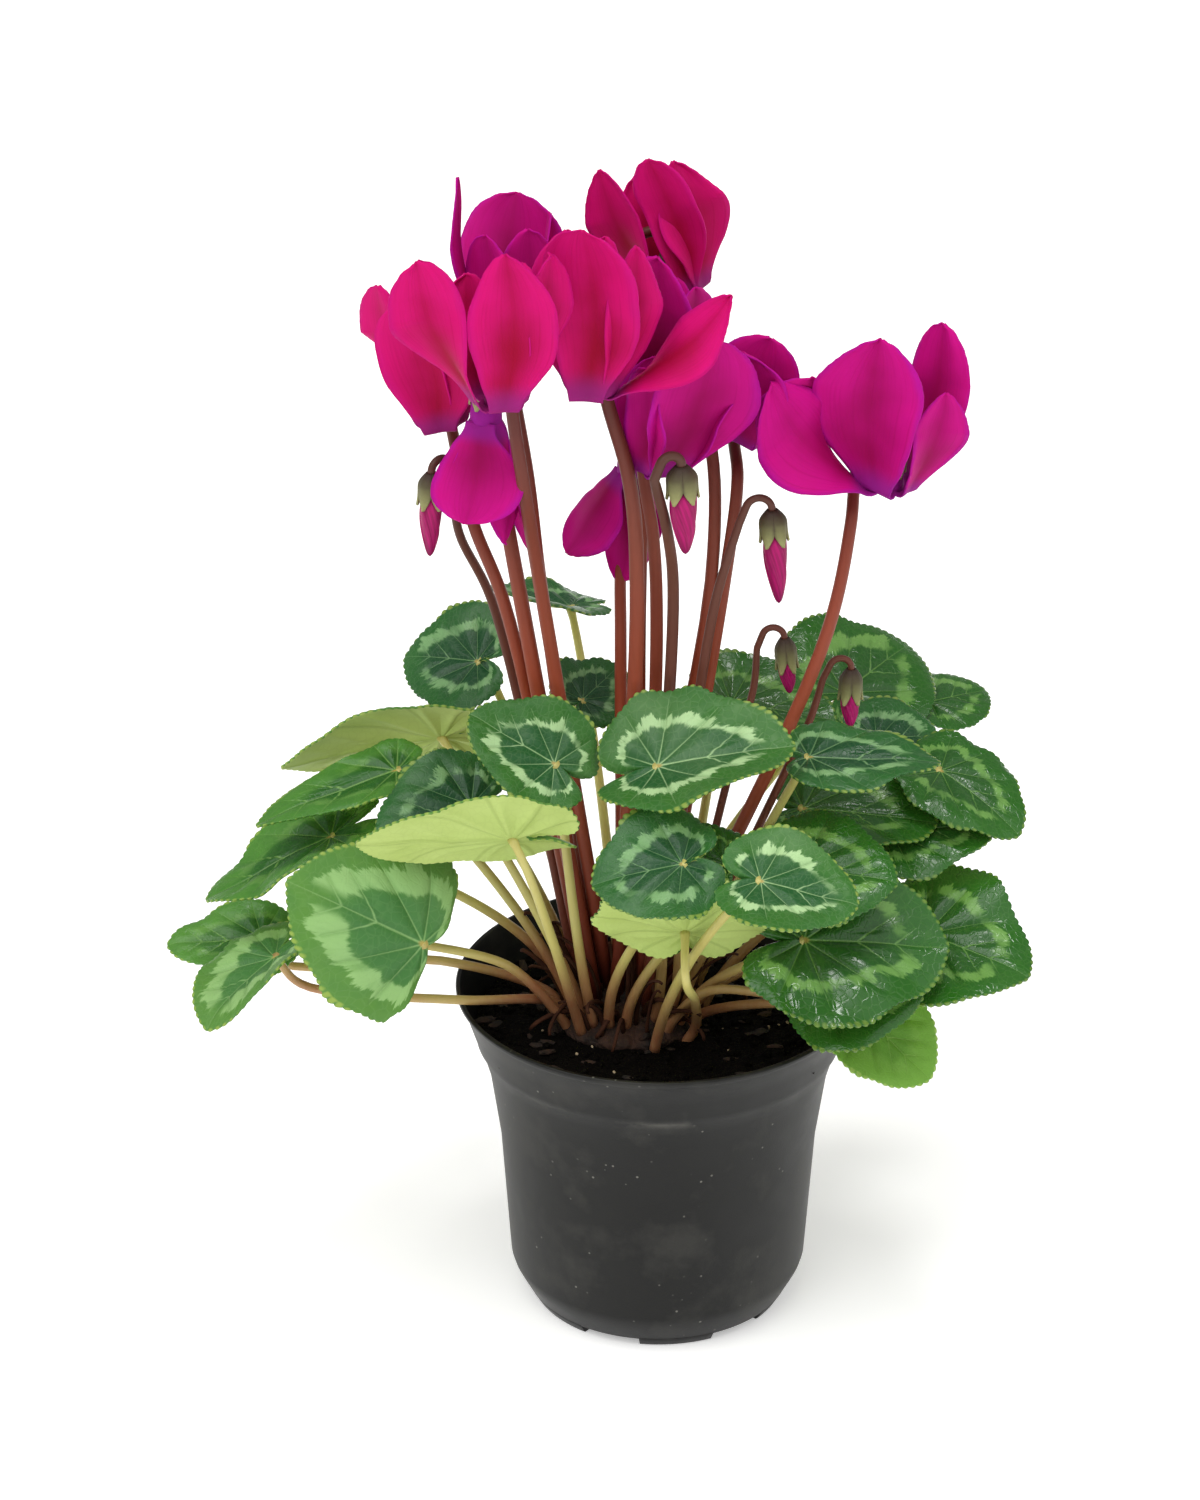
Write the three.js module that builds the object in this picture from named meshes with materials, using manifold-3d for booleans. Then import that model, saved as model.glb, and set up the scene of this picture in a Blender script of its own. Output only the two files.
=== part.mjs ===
// Potted cyclamen in a round black nursery pot.
// Millimetres, +Z up, origin on the ground under the middle of the pot; the viewer stands at -Y.
// One node for each leaf (blade and stalk), flower stalk, corolla and bud, and for the
// tuber, the compost and the pot.
import * as THREE from 'three';
import { mergeVertices } from 'three/addons/utils/BufferGeometryUtils.js';
import Module from 'manifold-3d';

// ---------- driving dimensions (mm) ----------
const GAP = 0.3;             // clearance between neighbouring pieces
const WALL = 1.2;            // pot wall
const BASE_RAISE = 2.6;      // underside of the base above the ground between the feet
const BASE_TOP = 4.2;
const PAD_R = 6;             // middle pad under the base, on the ground
const FEET = 6;
const FOOT_BEARING = 8;      // middle of the front foot, degrees from the viewer towards +X
const NOTCH_WIDE = 16;
const HOLE_R = 3.4;          // drain holes
const POT_SIDE = [           // outer radius and height of the pot wall, foot to rim
  [33, 0], [34.5, 2.6], [38, 9.4], [38.6, 11.4], [41.1, 47], [43.9, 66], [46.2, 74],
  [47.4, 75.4], [49.2, 80.5], [52, 89.2], [52.5, 90]];
const POT_INSIDE = [90, 89.2, 75.4, 66, 47, 11.4];   // heights of the rings on the inner face
const FOOT_R_IN = 24;
const SOIL_TOP = 80;
const CROWN = [-8, 2];       // middle of the tuber
const TUBER_R = 20;
const TUBER_TOP = 88.5;
const TUBER_FALL = 8;        // height lost from the middle to the shoulder of the tuber
const BLADE_THICK = 0.9;
const STALK_R = [1.75, 1.2]; // leaf stalk at the tuber and at the blade
const PETAL_THICK = 0.8;
const TUBE_R = 3.8;          // mouth of the corolla tube
const TUBE_LONG = 6.5;
const PETAL_BEND = 3.6;      // length over which a petal folds back at the mouth
const HOOK_R = 4.6;          // bend at the top of a flower stalk
const BUD_SLANT = 25;        // degrees from the bud's axis at which its stalk comes up to the hook
const POT_SEGS = 36, LEAF_SIDES = 5, STEM_SIDES = 5;

// ---------- colours ----------
const POT_BLACK = 0x3a3a39, PEAT = 0x2a211c, CORK = 0x4a3326;
const LEAF_GREEN = 0x2c6b3a, LEAF_YOUNG = 0x86ad48;
const STEM_BROWN = 0x7a4430, MAGENTA = 0xc4127e, BUD_PINK = 0xb01a70;

// ---------- leaves ----------
// name, where the stalk meets the blade, tip, direction the upper face looks, bearing
// (degrees from +X) and radius of the root on the tuber, then what differs from an average
// blade: wide, back (length of the lobes behind the stalk), cup (margin raised), fold (V along
// the midrib), droop (tip hanging), wave, young (paler), via (a point that the stalk passes),
// neck (length of the straight end of the stalk below the blade)
const LEAVES = [
  ['front_high', [-1, -28, 167], [32.5, -30, 175.5], [1, -4, 10], 300, 13.4,
    { wide: 0.92, fold: 0.35, cup: 0.04 }],
  ['left_high', [-26.5, -22, 164.5], [-47.5, -16, 176], [-1, -6, 9], 235, 14.9,
    { wide: 0.95, fold: 0.15 }],
  ['low_left', [-59.5, -31, 118], [-90.5, -40, 140], [-2, -8, 6], 210, 17.8,
    { wide: 0.95, cup: -0.12, fold: -0.1, droop: 0.05, back: 0.25, via: [-39, -13, 102] }],
  ['far_low_left', [-98, -17, 107], [-115.5, -40, 102], [-5, -1, 10], 197, 16.8,
    { wide: 0.8, fold: 0.35, via: [-51, -16, 93.5] }],
  ['far_left', [-102.5, 6, 99.5], [-127.5, 7, 97.5], [-1, -4, 9], 180, 17.3,
    { wide: 0.75, via: [-56.5, 2, 95] }],
  ['left_fold', [-84, 0, 132.5], [-117, -6, 119.5], [-4, -1, 8], 162, 16.3,
    { wide: 0.68, fold: 0.2 }],
  ['left_mid', [-67, 3, 150], [-103, -8, 142], [-2, -2, 9], 184, 14.4,
    { wide: 0.42, fold: 0.25, back: 0.5 }],
  ['left_turned', [-56, 20, 151], [-97.5, 17.5, 146.5], [0, 8, 6], 140, 16.8,
    { wide: 0.62, cup: -0.05, droop: 0, fold: 0.15 }],
  ['left_inner', [-47.5, -16, 150], [-71.5, -24, 147], [-3, -5, 8], 214, 13.4, { fold: 0.3 }],
  ['left_under', [-37, -41.5, 154], [-75.5, -46, 155.5], [0, 8, 6], 229, 17.8,
    { wide: 0.72, cup: -0.05, droop: 0, fold: 0.25 }],
  ['back_left', [-47, 36, 164.5], [-67, 46, 162], [-1, -6, 8], 146, 12.4, { wide: 1.15 }],
  ['back_flat', [-23, 60, 169], [-46, 57, 173], [0, 2, 10], 100, 13.4, { wide: 0.95, cup: 0.22 }],
  ['mid_small', [-19.5, 14, 164.5], [-10, 26, 168.5], [2, -5, 8], 128, 13.4, { wide: 1.1, cup: 0.1 }],
  ['back_right_big', [48.5, 44, 151.5], [67.5, 66, 157], [0, -7, 7], 55, 13.4, { wide: 1.2 }],
  ['right_back', [18.5, 25, 158], [45.5, 22, 155.5], [1, -3, 9], 30, 11.9,
    { wide: 0.95, fold: 0.2 }],
  ['right_upper', [37, -18, 164.5], [70, -19, 163], [0, -2, 10], 335, 13.9,
    { wide: 0.62, cup: 0.1, back: 0.4 }],
  ['right_mid', [56, 23, 148.5], [73.5, 31, 146], [1, -4, 9], 29, 16.3, { wide: 1.1 }],
  ['far_back_right', [71.5, 52, 145], [87.5, 66, 142.5], [1, -3, 8], 41, 16.3, { wide: 0.9 }],
  ['far_right', [72, 12.5, 145], [92.5, -2.5, 138.5], [4, -4, 8], 45, 21.3, { cup: -0.1 }],
  ['right_dark', [36.5, 3, 139], [70.5, -2, 139.5], [0, -3, 9], 8, 15.9, { wide: 0.85, back: 0.5 }],
  ['right_low', [59, 0, 133.5], [86, 1, 136.5], [1, -4, 9], 361, 18.8, { wide: 0.9 }],
  ['front_right_back', [34.5, -28, 138.5], [59, -34.5, 138], [1, -5, 8], 320, 12.4,
    { wide: 1.1, neck: 3, via: [10, -18, 134] }],
  ['front_right', [24, -63, 153.5], [48, -66, 149], [0, -5, 10], 289, 20.3, { wide: 1 }],
  ['front_mid', [5, -50.5, 151.5], [-17.5, -53.5, 148.5], [-1, -6, 9], 251, 14.3, { wide: 1.15 }],
  ['front_small', [16, -34, 143], [8.5, -24, 149], [2, -6, 8], 268, 13.9, {}],
  ['front_under', [6, -39, 126.5], [5.5, -50.5, 150], [0, 8, 6], 318, 20,
    { wide: 1.4, via: [9, -24.5, 97.5] }],
  ['low_right', [36, -35, 121.5], [73, -32, 119], [1, -6, 8], 322, 16.3, { wide: 1.05 }],
  ['right_tip', [67.5, -15, 112.5], [93, -28.5, 109], [3, -6, 8], 342, 16.3, { wide: 1.25 }],
  ['low_right_under', [42, -36, 108.5], [66.5, -38.5, 110], [2, -7, 7], 307, 16.3,
    { wide: 1.15, via: [13, -19, 98] }],
  ['drooping', [51.5, -27, 96], [69, -34.5, 81], [5, -7, 4], 332, 18.3,
    { wide: 1, young: true, via: [36, -25.5, 98] }],
];

// ---------- flowers ----------
// name, mouth of the tube, way the turned-back petals point, bearing at which the stalk
// passes the corolla, root on the tuber, stalk radius at foot and top, stalk way points,
// then five petals: bearing, flare from upright, length, breadth, twist, curl
const FLOWERS = [
  ['far_left', [-54, 5, 244.5], [-2, 0, 10], 84, [-17.6, 2], 1.9, 1.6,
    [[-47, 4.5, 219], [-39, 1.5, 197]],
    [[149, 10, 40, 19, 10, -14], [266, 7, 41, 20, 12, 4], [324, 8, 37, 15, 16, 0],
      [58, 15, 31, 16, 16, 0], [102, 21, 30, 16, 16, 0]]],
  ['front_left', [-39, -32, 266], [0, 0, 10], 75, [-12.8, 2], 2, 1.6,
    [[-34, -22, 242], [-30, -10, 208]],
    [[205, 22, 44, 17, 30, 0], [279, 3, 45, 20, 14, 4], [344, 8, 42, 15, 16, 0],
      [63, 12, 35, 16, 16, 0], [129, 14, 33, 16, 16, 0]]],
  ['back_left', [-39, 24, 259], [0, 0, 10], 280, [-15.2, 6.2], 1.8, 1.5,
    [[-33, 13.5, 226.5], [-30, 7.5, 200.5]],
    [[191, 12, 46, 11, 20, -12], [71, 8, 37, 24, 8, 0], [10, 10, 36, 15, 16, 0],
      [248, 9, 35, 17, 16, 0], [304, 9, 36, 16, 16, 0]]],
  ['middle', [-18, -17.5, 262.5], [0, 0, 10], 64, [-10.9, -1.7], 2.2, 1.7,
    [[-8, -11.5, 237], [-6, -8.5, 205]],
    [[267, 2, 49, 20, 12, 4], [324, 9, 44, 14, 16, 0], [350, 52, 43, 17, -60, -10],
      [125, 4, 42, 17, 16, 0], [70, 11, 39, 16, 16, 0]]],
  ['middle_low', [-2, -5, 237], [2, 0, 10], 104, [-4.1, -2.7], 1.9, 1.6,
    [[-2, 0, 216.5], [-1, 1, 190.5]],
    [[306, 5, 42, 28, 10, 6], [7, 23, 29, 18, 16, 0], [131, 5, 29, 16, 16, 0],
      [71, 14, 21, 16, 16, 0], [233, 15, 34, 15, 16, 0]]],
  ['middle_back', [-2, 12, 251.5], [1, 0, 10], 77, [-4.7, 3], 1.7, 1.5,
    [[-4, 10.5, 222], [-5, 4.5, 197]],
    [[238, 4, 40, 21, 14, 0], [352, 4, 28, 16, 16, 0], [74, 13, 28, 15, 16, 0],
      [123, 11, 29, 15, 16, 0], [201, 6, 27, 14, 16, 0]]],
  ['right_of_middle', [21, 11.5, 238], [2, 0, 10], 105, [-1.3, 6.2], 1.9, 1.6,
    [[19, 8.5, 228.5], [16, 4.5, 202.5]],
    [[339, 13, 17, 17, 16, -6], [80, 1, 19, 20, 16, 0], [238, 11, 23, 19, 16, 6],
      [180, 25, 16, 16, 16, 0], [128, 25, 16, 15, 16, 0]]],
  ['top', [6, 31, 269.5], [-3, 0, 10], 185, [-7.6, 10.2], 1.9, 1.6,
    [[11, 14, 242], [13, 6, 207]],
    [[333, 11, 38, 14, 10, -5], [282, 2, 42, 16, 14, 0], [203, 9, 41, 14, 40, -12],
      [59, 7, 32, 14, 16, 0], [118, 6, 32, 14, 16, 0]]],
  ['right', [56, 2.5, 228.5], [1, 0, 10], 148, [0.1, 3], 1.9, 1.6,
    [[47, 1.5, 218.5], [41, -4.5, 190.5]],
    [[219, 11, 48, 28, 6, 0], [190, 54, 42, 23, 60, -8], [50, 9, 44, 15, 16, -6],
      [326, 15, 35, 16, 20, -6], [135, 20, 35, 18, 16, 0]]],
  ['hanging_left', [-43, -10, 252], [0, 0, 10], 79, [-16.2, -2.2], 2.3, 1.8,
    [[-39, -2, 227], [-34, -3, 195]],
    [[248, 153, 24, 22, 0, 10], [312, 173, 32, 13, 10, 6], [12, 169, 38, 13, 10, 4],
      [71, 170, 32, 14, 10, 0], [152, 168, 22, 15, 10, 0]]],
  ['hanging_middle', [-7, 18.5, 225.5], [0, 0, 10], 97, [-9.5, 4], 1.8, 1.5,
    [[-10, 15.5, 202], [-10, 9.5, 186]],
    [[202, 139, 23, 20, 10, 14], [242, 177, 29, 12, 10, 0], [350, 176, 26, 12, 10, 0],
      [69, 170, 27, 13, 10, 0], [138, 168, 24, 14, 10, 0]]],
];

// ---------- buds ----------
// name, lower edge of the calyx, way it points up, bearing of the stalk, root, radius at foot
// and top, radius of the hook, way points, length and radius of the furled petals
const BUDS = [
  ['left', [-57, -3, 226.5], [0.3, 0, 10], 40, [-20, 4.5], 1.4, 1.1, 2.8,
    [[-50.5, 5, 216], [-42, 10.5, 192.5]], 14, 2.7],
  ['middle', [5, -21, 236.5], [-0.5, 0, 10], 200, [-3.2, -6.4], 1.8, 1.4, 2.8,
    [[1.5, -16, 224], [3, -7, 202]], 15, 3.6],
  ['right', [28, -4, 217], [-0.8, 0, 10], 185, [-0.8, -2.2], 1.5, 1.2, 3.3,
    [[16.5, -5, 213], [13, -4.5, 198]], 16, 3],
  ['small_back', [32, 4, 178], [-1, 0, 10], 178, [4.5, 6.2], 1.3, 1, 2.8,
    [[23.5, 4.5, 172], [19.5, 2, 158]], 7, 2.2],
  ['small_right', [48, 2.5, 170], [0, 0, 10], 187, [4, 1.3], 1.3, 1, 2.8,
    [[38, 0.5, 166], [31, -1.5, 150]], 8, 2.4],
];

// ---------- helpers ----------
const wasm = await Module();
wasm.setup();
const { Manifold, Mesh: SolidMesh } = wasm;
const { degToRad, lerp } = THREE.MathUtils;
const vec = (a) => new THREE.Vector3(...a);
const along = (p, ...moves) => {           // p + direction * distance, for each pair
  const r = p.clone();
  for (let i = 0; i < moves.length; i += 2) r.addScaledVector(moves[i], moves[i + 1]);
  return r;
};

// Value at x of the line through [x, y] pairs
function curve(table, x) {
  let i = 1;
  while (i < table.length - 1 && table[i][0] < x) i += 1;
  const [x0, y0] = table[i - 1], [x1, y1] = table[i];
  return lerp(y0, y1, (x - x0) / (x1 - x0));
}

// Closed shape with its faces turned outwards
function closed(points, faces) {
  const g = new THREE.BufferGeometry();
  g.setAttribute('position', new THREE.Float32BufferAttribute(points.flatMap((p) => p.toArray()), 3));
  g.setIndex(faces.flat());
  return g;
}

function solidOf(geometry) {
  const g = geometry.clone();
  for (const key of Object.keys(g.attributes)) if (key !== 'position') g.deleteAttribute(key);
  const m = mergeVertices(g, 1e-3), p = m.attributes.position.array, index = m.index.array;
  const tri = [];
  let volume = 0;
  for (let i = 0; i < index.length; i += 3) {
    const [a, b, c] = [index[i], index[i + 1], index[i + 2]];
    if (a === b || b === c || a === c) continue;
    tri.push([a, b, c]);
    const [A, B, C] = [a, b, c].map((k) => new THREE.Vector3(p[3 * k], p[3 * k + 1], p[3 * k + 2]));
    volume += A.dot(B.cross(C));
  }
  if (volume < 0) for (const t of tri) t.reverse();
  return new Manifold(new SolidMesh({
    numProp: 3, vertProperties: new Float32Array(p), triVerts: new Uint32Array(tri.flat()),
  }));
}

function geometryOf(solid) {
  const mesh = solid.getMesh();
  const g = new THREE.BufferGeometry();
  g.setAttribute('position', new THREE.BufferAttribute(new Float32Array(mesh.vertProperties), 3));
  g.setIndex(new THREE.BufferAttribute(new Uint32Array(mesh.triVerts), 1));
  g.computeVertexNormals();
  return g;
}

// Body of revolution about Z from [radius, height] pairs
function turned(profile, segments) {
  const g = new THREE.LatheGeometry(profile.map(([r, z]) => new THREE.Vector2(r, z)), segments);
  return g.rotateX(Math.PI / 2);
}

// Round tapering stalk through a list of points
function stalk(points, radii, sides) {
  const n = points.length, verts = [], faces = [];
  let normal = new THREE.Vector3(0.3, 1, 0.1);
  for (let i = 0; i < n; i += 1) {
    const dir = points[Math.min(i + 1, n - 1)].clone().sub(points[Math.max(i - 1, 0)]).normalize();
    normal = along(normal, dir, -normal.dot(dir)).normalize();
    const side = dir.clone().cross(normal);
    const r = radii[i];
    for (let k = 0; k < sides; k += 1) {
      const a = 2 * Math.PI * k / sides;
      verts.push(along(points[i], normal, r * Math.cos(a), side, r * Math.sin(a)));
      if (i === 0) continue;
      const [p, q] = [i * sides + k, i * sides + (k + 1) % sides];
      faces.push([p - sides, q - sides, q], [p - sides, q, p]);
    }
  }
  for (let k = 1; k < sides - 1; k += 1) {
    faces.push([0, k + 1, k]);
    faces.push([(n - 1) * sides, (n - 1) * sides + k, (n - 1) * sides + k + 1]);
  }
  return closed(verts, faces);
}

// ---------- tuber ----------
const tuberTop = (r) => TUBER_TOP - TUBER_FALL * (r / TUBER_R) ** 2;
const tuberProfile = (grow) => [
  [0, 75 - grow], [16, 75 - grow], [TUBER_R + grow, 79],
  ...[18, 10, 0].map((r) => [r ? r + grow * 0.4 : 0, tuberTop(r) + grow])];
const onCrown = (g) => g.translate(CROWN[0], CROWN[1], 0);
const tuberRoom = solidOf(onCrown(turned(tuberProfile(GAP + 0.05), 20)));
const rootAt = (bearing, r) => {
  const a = degToRad(bearing);
  return new THREE.Vector3(CROWN[0] + r * Math.cos(a), CROWN[1] + r * Math.sin(a), tuberTop(r) - 2);
};

// ---------- leaf ----------
// Reach of the heart-shaped outline from the stalk joint, by angle from the tip
const REACH = [[0, 1], [14, 0.91], [32, 0.79], [60, 0.67], [90, 0.59], [120, 0.53], [145, 0.49],
  [160, 0.43], [171, 0.3], [180, 0.12]];
const SECTORS = [0, 20, 50, 85, 120, 150, 168, 180, -168, -150, -120, -85, -50, -20];

function leafFrame([, at, tip, face]) {
  const A = vec(at), u = vec(tip).sub(A);
  const long = u.length();
  u.normalize();
  const n = vec(face).normalize();
  n.addScaledVector(u, -n.dot(u)).normalize();
  return { A, u, n, v: n.clone().cross(u), long };
}

function bladePoint(f, o, angle, rho, lift) {
  const a = degToRad(angle), k = f.long * curve(REACH, Math.abs(angle)) * rho;
  const s = k * Math.cos(a) * (Math.cos(a) < 0 ? o.back ?? 1 : 1), q = (o.wide ?? 1) * k * Math.sin(a);
  const h = (o.cup ?? 0.02) * (s * s + q * q) / f.long + (o.fold ?? 0.1) * (Math.hypot(q, 3) - 3)
    - (o.droop ?? 0.1) * Math.max(s, 0) ** 2 / f.long
    + (o.wave ?? 0.03) * f.long * rho ** 3 * Math.sin(3 * a + f.long);
  return along(f.A, f.u, s, f.v, q, f.n, h + lift);
}

function blade(f, o) {
  const verts = [], faces = [], n = SECTORS.length, t = BLADE_THICK / 2;
  for (const lift of [t, -t]) {
    verts.push(bladePoint(f, o, 0, 0, lift));
    for (const rho of [0.5, 1]) for (const a of SECTORS) verts.push(bladePoint(f, o, a, rho, lift));
  }
  const low = 1 + 2 * n;
  for (let k = 0; k < n; k += 1) {
    const [p, q] = [1 + k, 1 + (k + 1) % n];
    faces.push([0, p, q], [low, low + q, low + p]);
    faces.push([p, p + n, q + n], [p, q + n, q]);
    faces.push([low + p, low + q + n, low + p + n], [low + p, low + q, low + q + n]);
    faces.push([p + n, low + p + n, low + q + n], [p + n, low + q + n, q + n]);
  }
  return closed(verts, faces);
}

function stalkPath(f, o, root) {
  const reach = f.A.distanceTo(root), out = root.clone().sub(vec([...CROWN, root.z])).normalize();
  const up = new THREE.Vector3(0, 0, 1), end = along(f.A, f.n, -0.4);
  const near = along(f.A, f.n, -Math.min(o.neck ?? 12, reach * 0.2), f.u, -Math.min(5, reach * 0.08));
  if (o.via) {
    return new THREE.CatmullRomCurve3([root, along(root, out, 3, up, 5), vec(o.via), near, end])
      .getPoints(7);
  }
  const leave = along(root, out, reach * 0.12, up, reach * 0.35);
  return new THREE.CubicBezierCurve3(root, leave, near, end).getPoints(5);
}

function leafSolid(leaf, extra = 0) {
  const [, , , , bearing, r, o] = leaf, f = leafFrame(leaf);
  const path = stalkPath(f, o, rootAt(bearing, r));
  const radii = path.map((_, i) => lerp(...STALK_R, i / (path.length - 1)) + extra);
  return solidOf(blade(f, o)).add(solidOf(stalk(path, radii, LEAF_SIDES))).subtract(tuberRoom);
}

// ---------- flower ----------
function flowerFrame(mouth, lean) {
  const a = vec(lean).normalize(), e1 = along(new THREE.Vector3(1, 0, 0), a, -a.x).normalize();
  return { M: vec(mouth), a, e1, e2: a.clone().cross(e1) };
}
const bearingIn = (f, deg) =>
  along(new THREE.Vector3(), f.e1, Math.cos(degToRad(deg)), f.e2, Math.sin(degToRad(deg)));
const placed = (f, g) => g.applyMatrix4(new THREE.Matrix4().makeBasis(f.e1, f.e2, f.a).setPosition(f.M));

// Half breadth of a petal along its length, as a share of its breadth
const PETAL_EDGE = [[0, 0.12], [0.1, 0.17], [0.25, 0.31], [0.45, 0.45], [0.65, 0.5], [0.8, 0.46],
  [0.91, 0.33], [0.97, 0.18], [1, 0.05]];
const PETAL_ROWS = [0, 0.1, 0.38, 0.76, 1];

function petal(f, [bearing, flare, long, wide, twist, curl]) {
  const out = bearingIn(f, bearing), side = f.a.clone().cross(out);
  const steps = 100, rows = [];
  let c = along(f.M, out, TUBE_R - 0.6, f.a, 1);
  for (let i = 0; i <= steps; i += 1) {
    const t = i / steps, run = t * long;
    const angle = degToRad(run < PETAL_BEND ? lerp(140, flare, run / PETAL_BEND)
      : flare + curl * (run - PETAL_BEND) / (long - PETAL_BEND));
    const dir = along(new THREE.Vector3(), f.a, Math.cos(angle), out, Math.sin(angle));
    if (PETAL_ROWS.some((row) => Math.abs(row - t) < 1e-6)) {
      const normal = along(new THREE.Vector3(), out, Math.cos(angle), f.a, -Math.sin(angle));
      const w = degToRad(twist * Math.min(1, 1.5 * t) ** 2);
      const cross = along(new THREE.Vector3(), side, Math.cos(w), normal, Math.sin(w));
      const nn = along(new THREE.Vector3(), normal, Math.cos(w), side, -Math.sin(w));
      const half = wide * curve(PETAL_EDGE, t);
      rows.push([-1, 0, 1].map((s) => [along(c, cross, s * half, nn, -0.25 * half * s * s), nn]));
    }
    c = along(c, dir, long / steps);
  }
  const verts = [], faces = [], n = rows.length;
  for (const lift of [PETAL_THICK / 2, -PETAL_THICK / 2]) {
    for (const row of rows) for (const [p, nn] of row) verts.push(along(p, nn, lift));
  }
  const low = 3 * n;
  for (let i = 0; i < n - 1; i += 1) {
    for (let j = 0; j < 2; j += 1) {
      const [p, q] = [3 * i + j, 3 * i + j + 1];
      faces.push([p, q, q + 3], [p, q + 3, p + 3]);
      faces.push([low + p, low + q + 3, low + q], [low + p, low + p + 3, low + q + 3]);
    }
    const [p, q] = [3 * i, 3 * i + 2];
    faces.push([p, p + 3, low + p + 3], [p, low + p + 3, low + p]);
    faces.push([q, low + q + 3, q + 3], [q, low + q, low + q + 3]);
  }
  for (let j = 0; j < 2; j += 1) {
    const [p, q] = [j, 3 * (n - 1) + j];
    faces.push([p, low + p + 1, p + 1], [p, low + p, low + p + 1]);
    faces.push([q, q + 1, low + q + 1], [q, low + q + 1, low + q]);
  }
  return closed(verts, faces);
}

// Flower stalk from the tuber over its hook of radius `bend` to a calyx `start` above f.M.
// It comes up `slant` degrees aside, through `leads` (in hook radii) below the hook.
function scapePath(f, start, bend, bearing, root, via, slant = 0, leads = [3.4, 1]) {
  const d = bearingIn(f, bearing), K = along(f.M, f.a, start);
  const foot = rootAt(0, 0).set(root[0], root[1],
    tuberTop(Math.hypot(root[0] - CROWN[0], root[1] - CROWN[1])) - 2);
  const hook = (degrees, down = 0) => {      // point of the hook, or down its straight lead
    const c = Math.cos(degToRad(degrees)), s = Math.sin(degToRad(degrees));
    return along(K, d, bend * (1 + c) + down * s, f.a, bend * s - down * c);
  };
  const rise = [foot, ...via.map(vec).reverse(), ...leads.map((lead) => hook(slant, lead * bend))];
  const path = new THREE.CatmullRomCurve3(rise).getPoints(7);
  for (const degrees of [Math.max(15, slant), 65, 115, 165]) path.push(hook(degrees));
  path.push(along(K, f.a, -2.5));
  return path;
}

function scapeSolid(feet, extra, ...route) {
  const path = scapePath(...route), last = path.length - 1;
  const radii = path.map((_, i) => lerp(feet[0], feet[1], Math.min(1, 1.3 * i / last)) + extra);
  return solidOf(stalk(path, radii, STEM_SIDES)).subtract(tuberRoom);
}

function calyx(f, from, long, r) {
  return solidOf(placed(f, turned([[0, from], [r * 0.92, from], [r, from + long * 0.45],
    [r * 0.5, from + long], [0, from + long]], 8)));
}

function flowerSolids([, mouth, lean, bearing, root, foot, top, via, petals]) {
  const f = flowerFrame(mouth, lean), base = TUBE_LONG + GAP;
  const route = [f, base + 6.5, HOOK_R, bearing, root, via];
  const stem = scapeSolid([foot, top], 0, ...route).add(calyx(f, base, 5, 3.6));
  let corolla = solidOf(placed(f, turned([[0, TUBE_LONG], [3.2, TUBE_LONG], [TUBE_R, 0],
    [TUBE_R - 1, 0], [0, TUBE_LONG - 1.5]], 6)));
  for (const p of petals) corolla = corolla.add(solidOf(petal(f, p)));
  return [stem, corolla.subtract(scapeSolid([foot, top], GAP + 0.1, ...route))];
}

function budSolid([, edge, lean, bearing, root, foot, top, bend, via, long, r]) {
  const f = flowerFrame(edge, lean);
  const furled = placed(f, turned([[0, 1], [r * 0.85, 1], [r, -long * 0.25], [r * 0.8, -long * 0.6],
    [r * 0.35, -long], [0, -long]], 8));
  return scapeSolid([foot, top], 0, f, 9, bend, bearing, root, via, BUD_SLANT, [1.5])
    .add(calyx(f, 0, 8, r * 1.2)).add(solidOf(furled));
}

// ---------- pot, compost, tuber ----------
const innerAt = (z) => curve(POT_SIDE.map(([r, h]) => [h, r]), z) - WALL;

function potSolid() {
  const inside = POT_INSIDE.map((z) => [innerAt(z), z]);
  const profile = [[0, 0], [PAD_R, 0], [PAD_R, BASE_RAISE], [FOOT_R_IN, BASE_RAISE], [FOOT_R_IN, 0],
    ...POT_SIDE, ...inside, [innerAt(BASE_TOP), BASE_TOP], [0, BASE_TOP]];
  let pot = solidOf(turned(profile, POT_SEGS));
  for (let i = 0; i < FEET; i += 1) {
    const bearing = degToRad(FOOT_BEARING - 90 + (i + 0.5) * 360 / FEET);
    const notch = new THREE.BoxGeometry(20, NOTCH_WIDE, 2 * BASE_RAISE).translate(31, 0, 0);
    const hole = new THREE.CylinderGeometry(HOLE_R, HOLE_R, 12, 12).rotateX(Math.PI / 2)
      .translate(26, 0, 2);
    pot = pot.subtract(solidOf(notch.rotateZ(bearing))).subtract(solidOf(hole.rotateZ(bearing)));
  }
  return pot;
}

function soilSolid() {
  const side = POT_SIDE.filter(([, z]) => POT_INSIDE.includes(z) && z < SOIL_TOP - 1);
  const profile = [[0, BASE_TOP + GAP], [innerAt(BASE_TOP) - GAP - 0.2, BASE_TOP + GAP],
    ...side.map(([, z]) => [innerAt(z) - GAP, z]), [innerAt(SOIL_TOP) - GAP, SOIL_TOP],
    [40, SOIL_TOP - 0.8], [28, SOIL_TOP + 0.5], [16, SOIL_TOP - 6], [0, SOIL_TOP - 6]];
  return solidOf(turned(profile, POT_SEGS)).subtract(solidOf(onCrown(turned(tuberProfile(GAP), 20))));
}

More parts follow.
